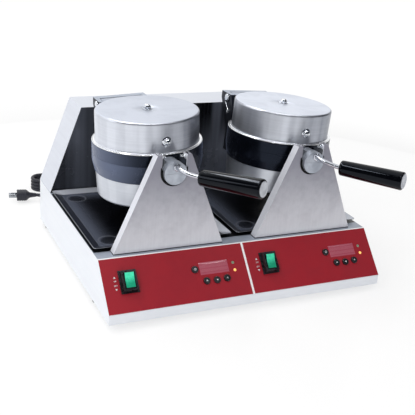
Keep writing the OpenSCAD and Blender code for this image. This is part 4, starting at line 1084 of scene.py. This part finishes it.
def lead_line():
    """The whole lead: a slow fall from the gland to the surface, a bend into the hank, its rounds, a bend down and
    over itself that turns 101.4 degrees to the left and then back past straight by the plug's own 11, and a straight
    run up into the plug."""
    y = np.linspace(FALL_START, FALL_END, 29)
    fall = np.column_stack(
        [0 * y - GLAND_X, y, GLAND_Z + (LEAD_LOW - GLAND_Z) * smooth((y - FALL_START) / (FALL_END - FALL_START))]
    )
    a = np.radians(np.linspace(0, 90, 13))
    join = np.column_stack([FRONT_X + LEAD_BEND * np.cos(a), FRONT_Y + LEAD_BEND * np.sin(a), 0 * a + LEAD_LOW])
    total = 2 * (math.pi * HANK_TURN_R + HANK_RUN)
    rounds = hank_line(np.linspace(4, 3 * total + 53 + 2 * math.pi * HANK_TURN_R + HANK_RUN, 330))
    left, skew = math.radians(101.4), math.radians(180 - PLUG_TURN)
    b = np.linspace(0, left, 16)[1:]
    first = np.column_stack([HANK_RIGHT - LEAD_BEND * np.sin(b), FRONT_Y + LEAD_BEND * np.cos(b)])
    middle = np.array([HANK_RIGHT - 2 * LEAD_BEND * math.sin(left), FRONT_Y + 2 * LEAD_BEND * math.cos(left)])
    c = np.linspace(left, -skew, 18)[1:]
    second = middle + LEAD_BEND * np.column_stack([np.sin(c), -np.cos(c)])
    last = second[-1] + (PLUG_AT[:2] - second[-1]) * np.linspace(0, 1, 24)[1:, None]
    off = np.concatenate([first, second, last])
    gone = np.cumsum(
        np.linalg.norm(np.diff(np.concatenate([[(HANK_RIGHT, FRONT_Y + LEAD_BEND)], off]), axis=0), axis=1)
    )
    far = np.linalg.norm(off - PLUG_AT[:2], axis=1)
    z = LEAD_LOW + 3 * HANK_STEP * (1 - smooth((gone - 34) / 126)) + (PLUG_AT[2] - LEAD_LOW) * smooth(1 - far / 46)
    return np.concatenate([fall, join, rounds, np.column_stack([off, z])])


class CONE_OT_mains_lead(bpy.types.Operator):
    """Makes the mains lead, folded behind the machine and held by a tie, with its plug and its tapered gland"""

    bl_idname = "cone.mains_lead"
    bl_label = "Mains lead"

    def execute(self, context):
        looks = context.scene.cone_lead
        jacket = lead_jacket(looks)
        line = lead_line()
        radius = looks.radius * 1000
        lead = piece("mains_lead", self.tube_of(line, radius), "root", jacket, ("cord", "cord_hank"))
        plug = self.plug(jacket)
        tie = self.tie(looks, shared("Black moulding"))
        self.gland(shared("Black moulding"))
        tuple(placed(line[:1])[0])
        placed(line).tolist()
        return {"FINISHED"}

    def tube_of(self, line, radius):
        """A circle carried along the lead's line."""
        points, faces = tube(line, radius, 14)
        return placed(points), faces

    def tie(self, looks, black):
        """A thin band round both runs of the hank: a rounded rectangle in y and z, carried over its width in x, 0.8
        mm thick."""
        half = looks.tie_width * 500
        outline = rounded_outline(24.45, 14.4, 5, 48)
        inner = rounded_outline(23.65, 13.6, 4.2, 48)
        rings = []
        for shape, x in ((outline, -half), (outline, half), (inner, half), (inner, -half)):
            rings.append(
                np.column_stack(
                    [np.full(len(shape), x - 168), shape[:, 0] + HANK_MID_Y, shape[:, 1] - FOOT_H + 14.45]
                )
            )
        points, faces = layered(rings, closed=True)
        return piece("lead_tie", (placed(points), faces), "root", black, soft_edges=0.25)

    def plug(self, black):
        """Rounded sections carried along the plug: a ribbed sleeve, a swelling body with finger ridges, and two flat
        blades."""
        x = np.concatenate([np.linspace(0, 12, 25), np.linspace(12.6, 39, 45)])
        sleeve = np.interp(x, [0, 12], [CORD_R + 0.6, CORD_R + 2.2]) + 0.35 * np.cos(x * 2 * np.pi / 2.4)
        body = 6 + 7.2 * smooth((x - 12) / 9) + 0.35 * smooth((x - 20) / 4) * np.cos((x - 20) * 2 * np.pi / 4) * (
            x < 34
        )
        r = np.where(x <= 12, sleeve, body)
        r[-1] -= 1.0
        flat = 1 - 0.14 * smooth((x - 12) / 8)
        a = np.linspace(0, 2 * np.pi, 40, endpoint=False)[None, :]
        square = (np.abs(np.cos(a)) ** 3.2 + np.abs(np.sin(a)) ** 3.2) ** (-1 / 3.2)
        round_share = smooth((x - 12) / 9)[:, None]
        reach = r[:, None] * ((1 - round_share) + round_share * np.minimum(square, 1.12) * 0.93)
        sections = np.stack([x[:, None] + 0 * a, reach * np.cos(a), reach * np.sin(a) * flat[:, None]], -1)
        ends = [np.broadcast_to((0.0, 0, 0), (1, 40, 3)), np.broadcast_to((39.3, 0, 0), (1, 40, 3))]
        moulding = layered(np.concatenate([ends[0], sections, ends[1]]))
        put = lambda shape: (placed(turned(shape[0], "Z", PLUG_TURN) + PLUG_AT), shape[1])
        made = piece("mains_plug", put(moulding), "root", black, ("plug",))
        blades = []
        for y in (-6.35, 6.35):
            outline = rounded_outline(8.4, 3.2, 1.2, 32)
            layers = ((-0.75, 0.0), (-0.75, 0.93), (-0.5, 1), (0.5, 1), (0.75, 0.93), (0.75, 0.0))
            rings = [
                np.column_stack([outline[:, 0] * k + 47.1, np.full(32, y + w), outline[:, 1] * k]) for w, k in layers
            ]
            blades.append(layered(rings))
        piece("plug_blades", put(joined(*blades)), "root", shared("Machined steel"))
        return made

    def gland(self, black):
        """A turned profile on the back: a flange, then a taper with deep rings that let the lead bend."""
        x = np.linspace(4, 40, 73)
        taper = np.interp(x, [4, 40], [7, 4.6]) + 0.45 * np.sign(np.sin(x * 2 * np.pi / 4.5)) * (x < 38)
        profile = [
            (CORD_R, -5), (7, -5), (7, 0), (10.1, 0), (10.5, 0.6), (10.5, 3.2), (9.8, 4), *zip(taper, x), (CORD_R, 40)
        ]
        points, faces = revolve(profile, 40)
        points = turned(points, "X", -90) + (-GLAND_X, BASE_D, GLAND_Z)
        piece("lead_gland", (placed(points), faces), "root", black, ("gland",))


# ---------------------------------------------------------------- housing


class CONE_OT_housing(bpy.types.Operator):
    """Finishes the base, the hood, their back and bottom, the feet and the fixing screws"""

    bl_idname = "cone.housing"
    bl_label = "Housing"

    def execute(self, context):
        looks = context.scene.cone_housing
        fold = looks.fold_radius * 1000
        zones = lambda look, sheet: base_zones(look, sheet, looks.deck)
        base = brushed_sheet("Base steel", looks.steel, looks.steel_shade, 0.34, 0.1, 0.35, zones)
        plate = brushed_sheet("Plain sheet", (206, 210, 219), (188, 193, 204), 0.4, 0.25)
        finish_node("base_shell", base, fold)
        finish_node("hood", hood_steel(looks), 0.5, flatten=False)
        finish_node("hood_back", plate, 0.3)
        finish_node("bottom_plate", plate, 0.3, flatten=False)
        finish_node("feet", moulded("Rubber feet", (30, 31, 33), (44, 45, 48), 0.7, depth=0.2, scale=900.0), 1.0)
        self.screws()
        return {"FINISHED"}

    def screws(self):
        """Low domed heads turned round their axis, with a cross cut into them by lowering what lies on two bars."""
        heads = []
        back = [(x, BASE_D + 0.05, z) for x in (-236, 0, 236) for z in (14, 70)]
        back += [
            (x, BASE_D + 0.05, z) for x, z in ((-228, 98), (228, 98), (-184, 232), (184, 232), (0, 98), (0, 232))
        ]
        for spot in back:
            r = np.array([0, 0.5, 1.0, 1.6, 2.2, 2.8, 3.3, 3.6, 3.7])[:, None]
            a = np.linspace(0, 2 * np.pi, 32, endpoint=False)
            x, y = r * np.cos(a), r * np.sin(a)
            cross = (np.minimum(np.abs(x), np.abs(y)) < 0.55) & (np.hypot(x, y) < 2.3)
            z = 1.7 * np.sqrt(np.clip(1 - (r / 3.75) ** 2, 0, 1)) + 0 * a - 0.9 * cross
            points = np.stack([x, y, z], -1).reshape(-1, 3)
            heads.append((turned(points, "X", -90) + spot, quads(9, 32, False, True)))
        points, faces = joined(*heads)
        piece("housing_screws", (placed(points), faces), "root", shared("Chrome"))


# ---------------------------------------------------------------- control panel


class CONE_OT_control_panel(bpy.types.Operator):
    """Finishes the panel's films, displays, switches, keys and lamps, and prints their marks"""

    bl_idname = "cone.control_panel"
    bl_label = "Control panel"

    def execute(self, context):
        looks = context.scene.cone_panel
        coated = {"Coat_Weight": 0.3, "Coat_Roughness": 0.08}
        finish_node("control_overlays", overlay_film(looks), 0.25, 2)
        finish_node("switch_bezels", moulded("Switch bezels", (18, 19, 22), (30, 31, 35), 0.3, **coated), 0.9)
        finish_node("indicator_lamps", lamp_lens(looks), 0.3, 2)
        finish_node("control_boards", circuit_board(), 0.15, 2)
        keys = moulded("Keys", (22, 22, 26), (38, 38, 43), 0.34, **coated)
        for side, way in SIDES:
            finish_node(f"rocker_{side}", lit_rocker(looks, way), 0.7)
            for k in range(4):
                finish_node(f"key_{side}_{k + 1}", keys, 0.45)
        self.displays(looks)
        self.marks(looks)
        return {"FINISHED"}

    def displays(self, looks):
        """A display's window: rounded rectangles in layers, a pillowed face whose height falls off near its edge."""
        for side, way in SIDES:
            outline = rounded_outline(DISPLAY_SIZE[0] / 2, DISPLAY_SIZE[1] / 2, 1.2, 64)
            rings = [
                (0.0, -4), (1.0, -4), (1.0, OVERLAY_T - 0.35), (0.992, OVERLAY_T - 0.1), (0.975, OVERLAY_T),
                (0.6, OVERLAY_T), (0.0, OVERLAY_T),
            ]
            points, faces = layered([np.column_stack([outline * k, np.full(len(outline), z)]) for k, z in rings])
            shape = (on_panel(points, way, *DISPLAY_SPOT), faces)
            standing = ("display_windows",) if side == "left" else ()
            piece(f"display_{side}", shape, "root", display_glass(looks, way), standing)

    def marks(self, looks):
        """Flat prints: each is an outline given a small height. Triangles point up and down beside a switch, and
        small signs stand on the keys."""
        h = looks.print_height * 1000
        on_film, on_keys = [], {side: [[] for _ in range(4)] for side, _ in SIDES}
        ring = lambda r0, r1, z: revolve([(r0, z), (r1, z), (r1, z + h), (r0, z + h)], 28)
        bar = lambda w, l, z, turn=0: (
            turned(prism(rounded_outline(w, l, min(w, l) * 0.4, 16), z, z + h)[0], "Z", turn),
            quads(4, 16, False, True),
        )
        arrow = lambda z, turn, r=2.0: (
            turned(prism(regular(3, r, 90), z, z + h)[0], "Z", turn), quads(4, 12, False, True)
        )
        top = OVERLAY_T + KEY_H
        for side, way in SIDES:
            put = lambda shape, x, s: (on_panel(shape[0], way, x, s), shape[1])
            on_film += [put(arrow(OVERLAY_T, 0, 2.3), 19.9, 58.4), put(arrow(OVERLAY_T, 180, 2.3), 19.9, 39.4)]
            on_film += [put(word(text, 2.0, OVERLAY_T, h), 19.9, up) for text, up in (("ON", 52.8), ("OFF", 45.4))]
            signs = [
                [ring(1.5, 2.0, top), bar(0.25, 1.0, top)], [arrow(top, 0)], [arrow(top, 180)], [
                    bar(1.6, 0.3, top), bar(0.3, 1.6, top)
                ]
            ]
            for k, parts in enumerate(signs):
                on_keys[side][k] = [put(part, *KEY_SPOTS[k]) for part in parts]
        piece("panel_print", joined(*on_film), "root", shared("White print"))
        for side, _ in SIDES:
            for k in range(4):
                piece(
                    f"key_sign_{side}_{k + 1}", joined(*on_keys[side][k]), f"key_{side}_{k + 1}",
                    shared("White print"),
                )


# ---------------------------------------------------------------- trays


class CONE_OT_trays(bpy.types.Operator):
    """Makes the drip trays with their rolled rims, sloped borders and pressed feet"""

    bl_idname = "cone.trays"
    bl_label = "Drip trays"

    def execute(self, context):
        looks = context.scene.cone_trays
        for side, way in SIDES:
            piece(
                f"drip_tray_{side}", self.shape(looks, way), f"tray_{side}", tray_steel(looks, way), (
                    f"tray_{side}",
                ),
                wall=looks.sheet,
            )
        return {"FINISHED"}

    def shape(self, looks, way):
        """Rings of a rounded rectangle: the rim and the slope move them inwards, then they shrink to the middle; the
        bottom is lowered where a pressed foot is, by a smooth step of the distance from its middle."""
        half_x, half_y = TRAY_W / 2, (TRAY_Y[1] - TRAY_Y[0]) / 2
        count, radius = 288, TRAY_CORNER_R
        rim = [(0.25, 5.75), (0.0, 6.05), (0.1, 6.4), (0.55, 6.5), (1.1, 6.42)]
        slope = [(o, np.interp(o, [1.1, TRAY_BORDER], [6.42, 1.8])) for o in np.linspace(2, TRAY_BORDER - 1.5, 6)]
        foot = [(TRAY_BORDER - 0.6, 2.0), (TRAY_BORDER + 0.4, 1.84), (TRAY_BORDER + 1.4, 1.8)]
        rings = [
            np.column_stack([rounded_outline(half_x - o, half_y - o, radius, count), np.full(count, z)])
            for o, z in rim + slope + foot
        ]
        last = rings[-1]
        for share in np.linspace(1, 0, 60)[1:]:
            ring = last * (share, share, 1)
            rings.append(ring)
        inset, r = looks.foot_inset * 1000, looks.foot_radius * 1000
        rings = np.array(rings)
        flat = rings[len(rim + slope + foot):]
        for x in (-1, 1):
            for y in (-1, 1):
                away = np.hypot(flat[..., 0] - x * (half_x - inset), flat[..., 1] - y * (half_y - inset))
                flat[..., 2] -= 1.0 * smooth((r + 0.6 - away) / 8)
        points, faces = layered(rings)
        middle = (way * UNIT_X, sum(TRAY_Y) / 2, BASE_H + 0.3)
        return placed(points + middle), faces[:, ::-1]


# ---------------------------------------------------------------- pillars


class CONE_OT_pillars(bpy.types.Operator):
    """Finishes the pillars, the bearings' black liners and the stop screws, and lays a painted shadow round each seat
    """

    bl_idname = "cone.pillars"
    bl_label = "Pillars"

    def execute(self, context):
        looks = context.scene.cone_heads
        for side, way in SIDES:
            finish_node(f"pillar_{side}", pillar_steel(looks, way), 0.9)
            self.lining(side, way)
        finish_node("bearings", shared("Bearing liner"), 0.2)
        finish_node("stop_screws", shared("Chrome"), 0.3)
        return {"FINISHED"}

    def lining(self, side, way):
        """A painted shadow round the seat on a pillar's face: a flat black band along a U, down one side, round a
        half circle and up the other."""
        inner, outer, top = 20.7, 23.0, 8.0
        a = np.linspace(np.pi, 2 * np.pi, 49)
        circle = np.column_stack([np.cos(a), np.sin(a)])
        lines = [np.concatenate([[(-r, top)], r * circle, [(r, top)]]) for r in (inner, outer)]
        behind, proud = 0.05, -0.5
        order = ((lines[0], behind), (lines[0], proud), (lines[1], proud), (lines[1], behind))
        grid = np.array([np.column_stack([line[:, 0], np.full(len(line), y), line[:, 1]]) for line, y in order])
        points = grid.reshape(-1, 3) + (way * UNIT_X, PILLAR_Y, AXIS_Z)
        count = grid.shape[1]
        ends = [[0, count, 2 * count, 3 * count], [4 * count - 1, 3 * count - 1, 2 * count - 1, count - 1]]
        faces = np.concatenate([quads(4, count, wrap_rows=True), ends])
        piece(f"seat_shadow_band_{side}", (placed(points), faces), "root", shared("Bearing liner"))


# ---------------------------------------------------------------- heads


def acorn_nut(radius, height):
    """A hexagon with chamfered corners and a dome on it: rings whose reach is the lesser of the hexagon's and a
    circle's."""
    a = np.linspace(0, 2 * np.pi, 72, endpoint=False)
    flat = radius * 0.866 / np.cos((a + np.pi / 6) % (np.pi / 3) - np.pi / 6)
    hexagon = lambda limit, z: np.column_stack(
        [np.minimum(flat, limit) * np.cos(a), np.minimum(flat, limit) * np.sin(a), z + 0 * a]
    )
    circle = lambda r, z: np.column_stack([r * np.cos(a), r * np.sin(a), z + 0 * a])
    rings = [
        circle(0, 0), hexagon(radius * 0.93, 0), hexagon(radius * 1.0, 0.35), hexagon(radius, 2.6),
        hexagon(radius * 0.93, 3.0), circle(radius * 0.82, 3.15),
    ]
    rings += [
        circle(0.8 * radius * math.cos(t), 3.3 + (height - 3.3) * math.sin(t)) for t in np.linspace(0, np.pi / 2, 12)
    ]
    return layered(rings)


class CONE_OT_heads(bpy.types.Operator):
    """Makes the spun covers with their rolled rims and the acorn nuts, and finishes plates, trunnions and elements"""

    bl_idname = "cone.heads"
    bl_label = "Heads"

    def execute(self, context):
        looks = context.scene.cone_heads
        cast = cast_metal("Cast trunnions", looks.cast, looks.cast_dark, 0.42, 0.7, scale=420.0, depth=0.2)
        element = cast_metal("Element sheath", (70, 66, 64), (96, 84, 78), 0.45, 0.8, scale=1200.0, depth=0.1)
        for side, way in SIDES:
            coat = plate_coating(looks, way)
            self.covers(looks, side, way)
            for half in ("lower", "upper"):
                finish_node(f"{half}_plate_{side}", coat, 0.5, 2, flatten=False)
                finish_node(f"{half}_trunnion_{side}", cast, 0.6, flatten=False)
                finish_node(f"{half}_element_{side}", element, None)
            self.nuts(side, way)
        return {"FINISHED"}

    def covers(self, looks, side, way):
        """Closed profiles turned round the head's axis. The upper one has a rolled bead on its flange, a fillet, a
        side wall and a rounded top edge; the lower one hangs as a cup with a rolled top edge and a rounded bottom
        edge."""
        wall, bead = looks.wall * 1000, looks.rim_bead * 1000
        top, r = UPPER_T + COVER_H, COVER_R
        upper = [
            (PLATE_R - 0.35 - 2 * bead, UPPER_T + 0.02),
            *arc((PLATE_R - 0.35 - bead, UPPER_T + 0.02 + bead), bead, -90, 150, 12),
        ]
        upper += [(r + 3.6, UPPER_T + 1.5), *arc((r + 2.2, UPPER_T + 3.7), 2.2, 270, 180, 7)]
        upper += [(r, z) for z in np.linspace(UPPER_T + 6, top - 6, 12)]
        upper += [
            *arc((r - 4, top - 4), 4, 0, 90, 10), (r - 7, top), (r * 0.6, top), (r * 0.3, top), (3.1, top),
            (3.1, top - wall),
        ]
        upper += [(r - 5, top - wall), *arc((r - 4, top - 4), 4 - wall, 90, 0, 6), (r - wall, UPPER_T + 0.02)]
        # The flat top's colour differs per head: darker on the left as painted shade, lighter on the right as painted
        # light.
        crown = looks.top_left if way < 0 else looks.top_right
        steel = turned_steel(f"Spun cover {side}", way, looks.cover, looks.cover_shade, crown)
        shape = revolve(upper, 144)
        piece(
            f"lid_cover_{side}", (on_head(shape[0], way), shape[1]), f"lid_{side}", steel, (f"upper_cover_{side}",),
        )
        low, end = -LOWER_T, -LOWER_T - LOW_H
        lower = [(LOW_R - wall, low), *arc((LOW_R - 0.75, low - 0.75), 0.75, 90, 0, 5)]
        lower += [(LOW_R + (LOW_END_R - LOW_R) * t, low - 1.5 - (LOW_H - 6) * t) for t in np.linspace(0.03, 1, 10)]
        lower += [
            *arc((LOW_END_R - 4, end + 4), 4, 0, -90, 10), (LOW_END_R * 0.6, end), (0, end), (0, end + wall),
            (LOW_END_R - 5, end + wall),
        ]
        lower += [*arc((LOW_END_R - 4, end + 4), 4 - wall, -90, 0, 6)]
        steel = turned_steel(f"Spun cup {side}", way, looks.low_cover, looks.low_shade, looks.low_cover)
        shape = revolve(lower, 144)
        piece(
            f"low_cover_{side}", (on_head(shape[0], way), shape[1]), f"head_{side}", steel, (f"lower_cover_{side}",),
        )

    def nuts(self, side, way):
        """An acorn nut and a washer on the lid's top and on its front, each on its stud."""
        washer = revolve([(3.2, 0), (8.4, 0), (8.8, 0.3), (8.6, 0.9), (3.2, 0.9)], 48)
        stud = prism(regular(24, 3.0), -9, 1)
        parts = joined(washer, (acorn_nut(7.4, 7.2)[0] + (0, 0, 0.8), acorn_nut(7.4, 7.2)[1]), stud)
        top = parts[0] * (0.93, 0.93, 1) + (0, 0, UPPER_T + COVER_H)
        front = turned(parts[0] * (0.93, 0.93, 1), "X", 90) + (0, -COVER_R - 0.1, 40)
        points, faces = joined((top, parts[1]), (front, parts[1]))
        shape = (on_head(points, way), faces)
        piece(f"acorn_nuts_{side}", shape, f"lid_{side}", shared("Chrome"), (f"cap_nuts_{side}",))


class CONE_OT_hinges(bpy.types.Operator):
    """Finishes yokes, arms and shafts, and makes the hinge pins with their coiled springs"""

    bl_idname = "cone.hinges"
    bl_label = "Hinges"

    def execute(self, context):
        looks = context.scene.cone_heads
        for side, way in SIDES:
            coat = faced_casting(f"Yoke casting {side}", way, looks.yoke, looks.yoke_dark, looks.faced, PIN_Z + 8.5)
            finish_node(f"yoke_{side}", coat, 1.6)
            finish_node(f"hinge_arm_{side}", coat, 1.2)
            finish_node(f"shaft_{side}", shared("Machined steel"), 0.6)
            self.pin(side, way)
            self.spring(side, way)
            self.flap(side, way)
            self.leg(side, way)
        return {"FINISHED"}

    def pin(self, side, way):
        """A turned profile along x: a shank and two low domed heads."""
        end = YOKE_W + 0.15
        half = [
            (PIN_R, 0), (PIN_R, end), (7.4, end), (7.9, end + 0.5), (7.9, end + 1.6), (7.2, end + 2.4),
            (4, end + 2.75), (0, end + 2.8),
        ]
        profile = [(r, -x) for r, x in half[::-1]] + half[1:]
        points, faces = revolve(profile, 40, closed=False)
        points = turned(points, "Y", 90) + (0, PIN_Y, PIN_Z)
        piece(
            f"hinge_pin_{side}", (on_head(points, way), faces), f"head_{side}", shared("Chrome"),
            (f"hinge_hardware_{side}",),
        )

    def spring(self, side, way):
        """A helix of wire round the pin beside the arm, with a straight leg down to the yoke and one forward to the
        arm."""
        wire, turns, r = 1.0, 4, PIN_R + 3.2
        a = np.linspace(0, 2 * np.pi * turns, 26 * turns)
        coil = np.column_stack([2.5 * a / 2 / np.pi, -r * np.cos(a), r * np.sin(a)])
        t = np.linspace(0, 1, 6)[1:, None]
        first = coil[0] + (0, 0, -1) * (1 - t[::-1] + 0.001) * 26
        last = coil[-1] + (0, 0, 1) * t * 7.6
        line = np.concatenate([first, coil, last]) + (-ARM_W - 0.3 - 2.5 * turns - wire, PIN_Y, PIN_Z)
        points, faces = tube(line, wire, 10)
        piece(f"hinge_spring_{side}", (on_head(points, way), faces), f"head_{side}", shared("Chrome"))

    def flap(self, side, way):
        """A plate over the arm between the yoke's ears: rounded rectangles, drawn in a little at its edges, at a few
        heights."""
        half_x, front, back = 39.6, 90, PIN_Y + 7
        outline = rounded_outline(half_x, (back - front) / 2, 3.0, 64)
        rings = []
        for z, inward in ((0.0, 0.3), (0.25, 0.0), (0.75, 0.0), (1.0, 0.3)):
            share = 1 - inward / np.array([half_x, (back - front) / 2])
            rings.append(np.column_stack([outline * share, np.full(len(outline), z)]))
        rings = [rings[0] * (0, 0, 1), *rings, rings[-1] * (0, 0, 1)]
        points, faces = layered(rings)
        points = points + (0, (front + back) / 2, PIN_Z + 8.4)
        steel = shared("Hinge plate steel")
        piece(f"hinge_plate_{side}", (on_head(points, way), faces), f"lid_{side}", steel)

    def leg(self, side, way):
        """A spring's outer end: wire down an ear's face from the pin's head, closed in a small eye."""
        t = np.linspace(0, 1, 12)[:, None]
        a = np.radians(np.linspace(110, 440, 30))
        eye = np.column_stack([0 * a, 2.6 * np.cos(a), 2.6 * np.sin(a)])
        run = np.array([0, 4.0, -8.5]) * (1 - t) + (eye[0] + (0, -9.0, -24.0)) * t
        line = np.concatenate([run[:-1], eye + (0, -9.0, -24.0)])
        points, faces = tube(line + (-YOKE_W - 1.3, PIN_Y, PIN_Z), 1.1, 10)
        piece(f"spring_leg_{side}", (on_head(points, way), faces), f"head_{side}", shared("Chrome"))


class CONE_OT_handles(bpy.types.Operator):
    """Makes the bent rods, their nuts and the tapered grips with their end discs"""

    bl_idname = "cone.handles"
    bl_label = "Handles"

    def execute(self, context):
        looks = context.scene.cone_handles
        grip = moulded(
            "Grips", looks.grip, looks.grip_worn, 0.08, 0.004, 900.0,
            Specular_IOR_Level=0.2, Specular_Tint=(0.75, 0.84, 1.0, 1),
        )
        disc = bright_metal("End discs", looks.disc, [c - 10 for c in looks.disc], 0.42, 0.3)
        for side, way in SIDES:
            self.rod(looks, side, way)
            self.grip(looks, side, way, grip)
            shape = revolve(
                [
                    (0, 107), (11.7, 107), (12.1, 107.3), (12.1, 107.9), (11.8, 108.2), (8, 108.2), (7.6, 107.9),
                    (0, 107.9),
                ],
                64,
            )
            piece(
                f"grip_disc_{side}", (on_head(along_grip(shape[0]), way), shape[1]), f"lid_{side}", disc,
            )
        return {"FINISHED"}

    def rod(self, looks, side, way):
        """A circle along a straight start, a cubic curve and the grip's axis; a hexagon nut stands where it leaves
        the trunnion."""
        t = np.linspace(0, 1, 40)[:, None]
        along = along_grip([(0, 0, 0), (0, 0, 1)])
        way_of_grip = along[1] - along[0]
        a = ROD_START + (0, -4, 0)
        b, c, d = a + (0.6, -20, -1.2), GRIP_START - 14 * way_of_grip, GRIP_START
        bend = (1 - t) ** 3 * a + 3 * t * (1 - t) ** 2 * b + 3 * t * t * (1 - t) * c + t ** 3 * d
        line = np.concatenate([[ROD_START + (0, 7, 0), ROD_START], bend, [d + 6 * way_of_grip]])
        rod = tube(line, looks.rod_radius * 1000, 24)
        a6 = np.linspace(0, 2 * np.pi, 72, endpoint=False)
        flat = 6.8 * 0.866 / np.cos((a6 + np.pi / 6) % (np.pi / 3) - np.pi / 6)
        rings = []
        for reach, z in ((3.85, 0.1), (6.3, 0.1), (6.8, 0.5), (6.8, 2.5), (6.3, 3.0), (3.85, 3.0)):
            r = np.minimum(flat, reach) if reach > 4 else 0 * a6 + reach
            rings.append(np.column_stack([r * np.cos(a6), r * np.sin(a6), z + 0 * a6]))
        nut = layered(rings)
        nut = (turned(nut[0], "X", 90) + ROD_START, nut[1])
        points, faces = joined(rod, nut)
        steel = shared("Rod steel")
        piece(
            f"bent_rod_{side}", (on_head(points, way), faces), f"lid_{side}", steel, (f"handle_rod_{side}",)
        )

    def grip(self, looks, side, way, plastic):
        """A tapered turned profile: rounded shoulders, a faint swell (a half sine) between its ends, and a rounded
        rim."""
        r0, r1 = looks.grip_inner * 1000, looks.grip_outer * 1000
        z = np.linspace(2.4, 104.4, 30)
        side_r = r0 + (r1 - r0) * (z / GRIP_L) + 0.05 * np.sin(np.pi * z / GRIP_L)
        profile = [(4.0, 0), (r0 - 2.2, 0), *arc((r0 - 2.4, 2.4), 2.4, -80, -5, 7)]
        profile += [
            *zip(side_r, z), *arc((r1 - 2.45, 104.6), 2.4, 0, 90, 8), (12.6, 107), (12.4, 106.4), (4.0, 106.4)
        ]
        points, faces = revolve(profile, 72)
        piece(
            f"grip_{side}", (on_head(along_grip(points), way), faces), f"lid_{side}", plastic,
            (f"handle_grip_{side}",),
        )


# ---------------------------------------------------------------- panel and registration


class CONE_PT_dressing(bpy.types.Panel):
    """Lists the steps and their settings"""

    bl_idname = "CONE_PT_dressing"
    bl_label = "Cone Maker"
    bl_space_type = "VIEW_3D"
    bl_region_type = "UI"
    bl_category = "Cone Maker"

    def draw(self, context):
        for step, settings in STEPS:
            box = self.layout.box()
            box.operator(step.bl_idname)
            if settings:
                looks = getattr(context.scene, settings)
                for key in looks.bl_rna.properties.keys():
                    if key not in ("rna_type", "name"):
                        box.prop(looks, key)


SETTINGS = {
    "cone_stage": ConeMakerStage, "cone_lead": ConeMakerLead, "cone_housing": ConeMakerHousing,
    "cone_panel": ConeMakerPanel, "cone_trays": ConeMakerTrays, "cone_heads": ConeMakerHeads,
    "cone_handles": ConeMakerHandles,
}
STEPS = (
    (CONE_OT_stage, "cone_stage"), (CONE_OT_mains_lead, "cone_lead"), (CONE_OT_housing, "cone_housing"),
    (CONE_OT_control_panel, "cone_panel"), (CONE_OT_trays, "cone_trays"), (CONE_OT_pillars, None),
    (CONE_OT_heads, "cone_heads"), (CONE_OT_hinges, None), (CONE_OT_handles, "cone_handles"),
)


def register():
    for made in (*SETTINGS.values(), *(step for step, _ in STEPS), CONE_PT_dressing):
        bpy.utils.register_class(made)
    for name, kind in SETTINGS.items():
        setattr(bpy.types.Scene, name, bpy.props.PointerProperty(type=kind))


def unregister():
    for name in SETTINGS:
        delattr(bpy.types.Scene, name)
    for made in (CONE_PT_dressing, *(step for step, _ in STEPS), *SETTINGS.values()):
        bpy.utils.unregister_class(made)


def main():
    """Runs every step in order."""
    register()
    for step, _ in STEPS:
        family, name = step.bl_idname.split(".")
        if getattr(getattr(bpy.ops, family), name)() != {"FINISHED"}:
            raise RuntimeError(f"{step.bl_label} did not finish")


if __name__ == "__main__":
    main()
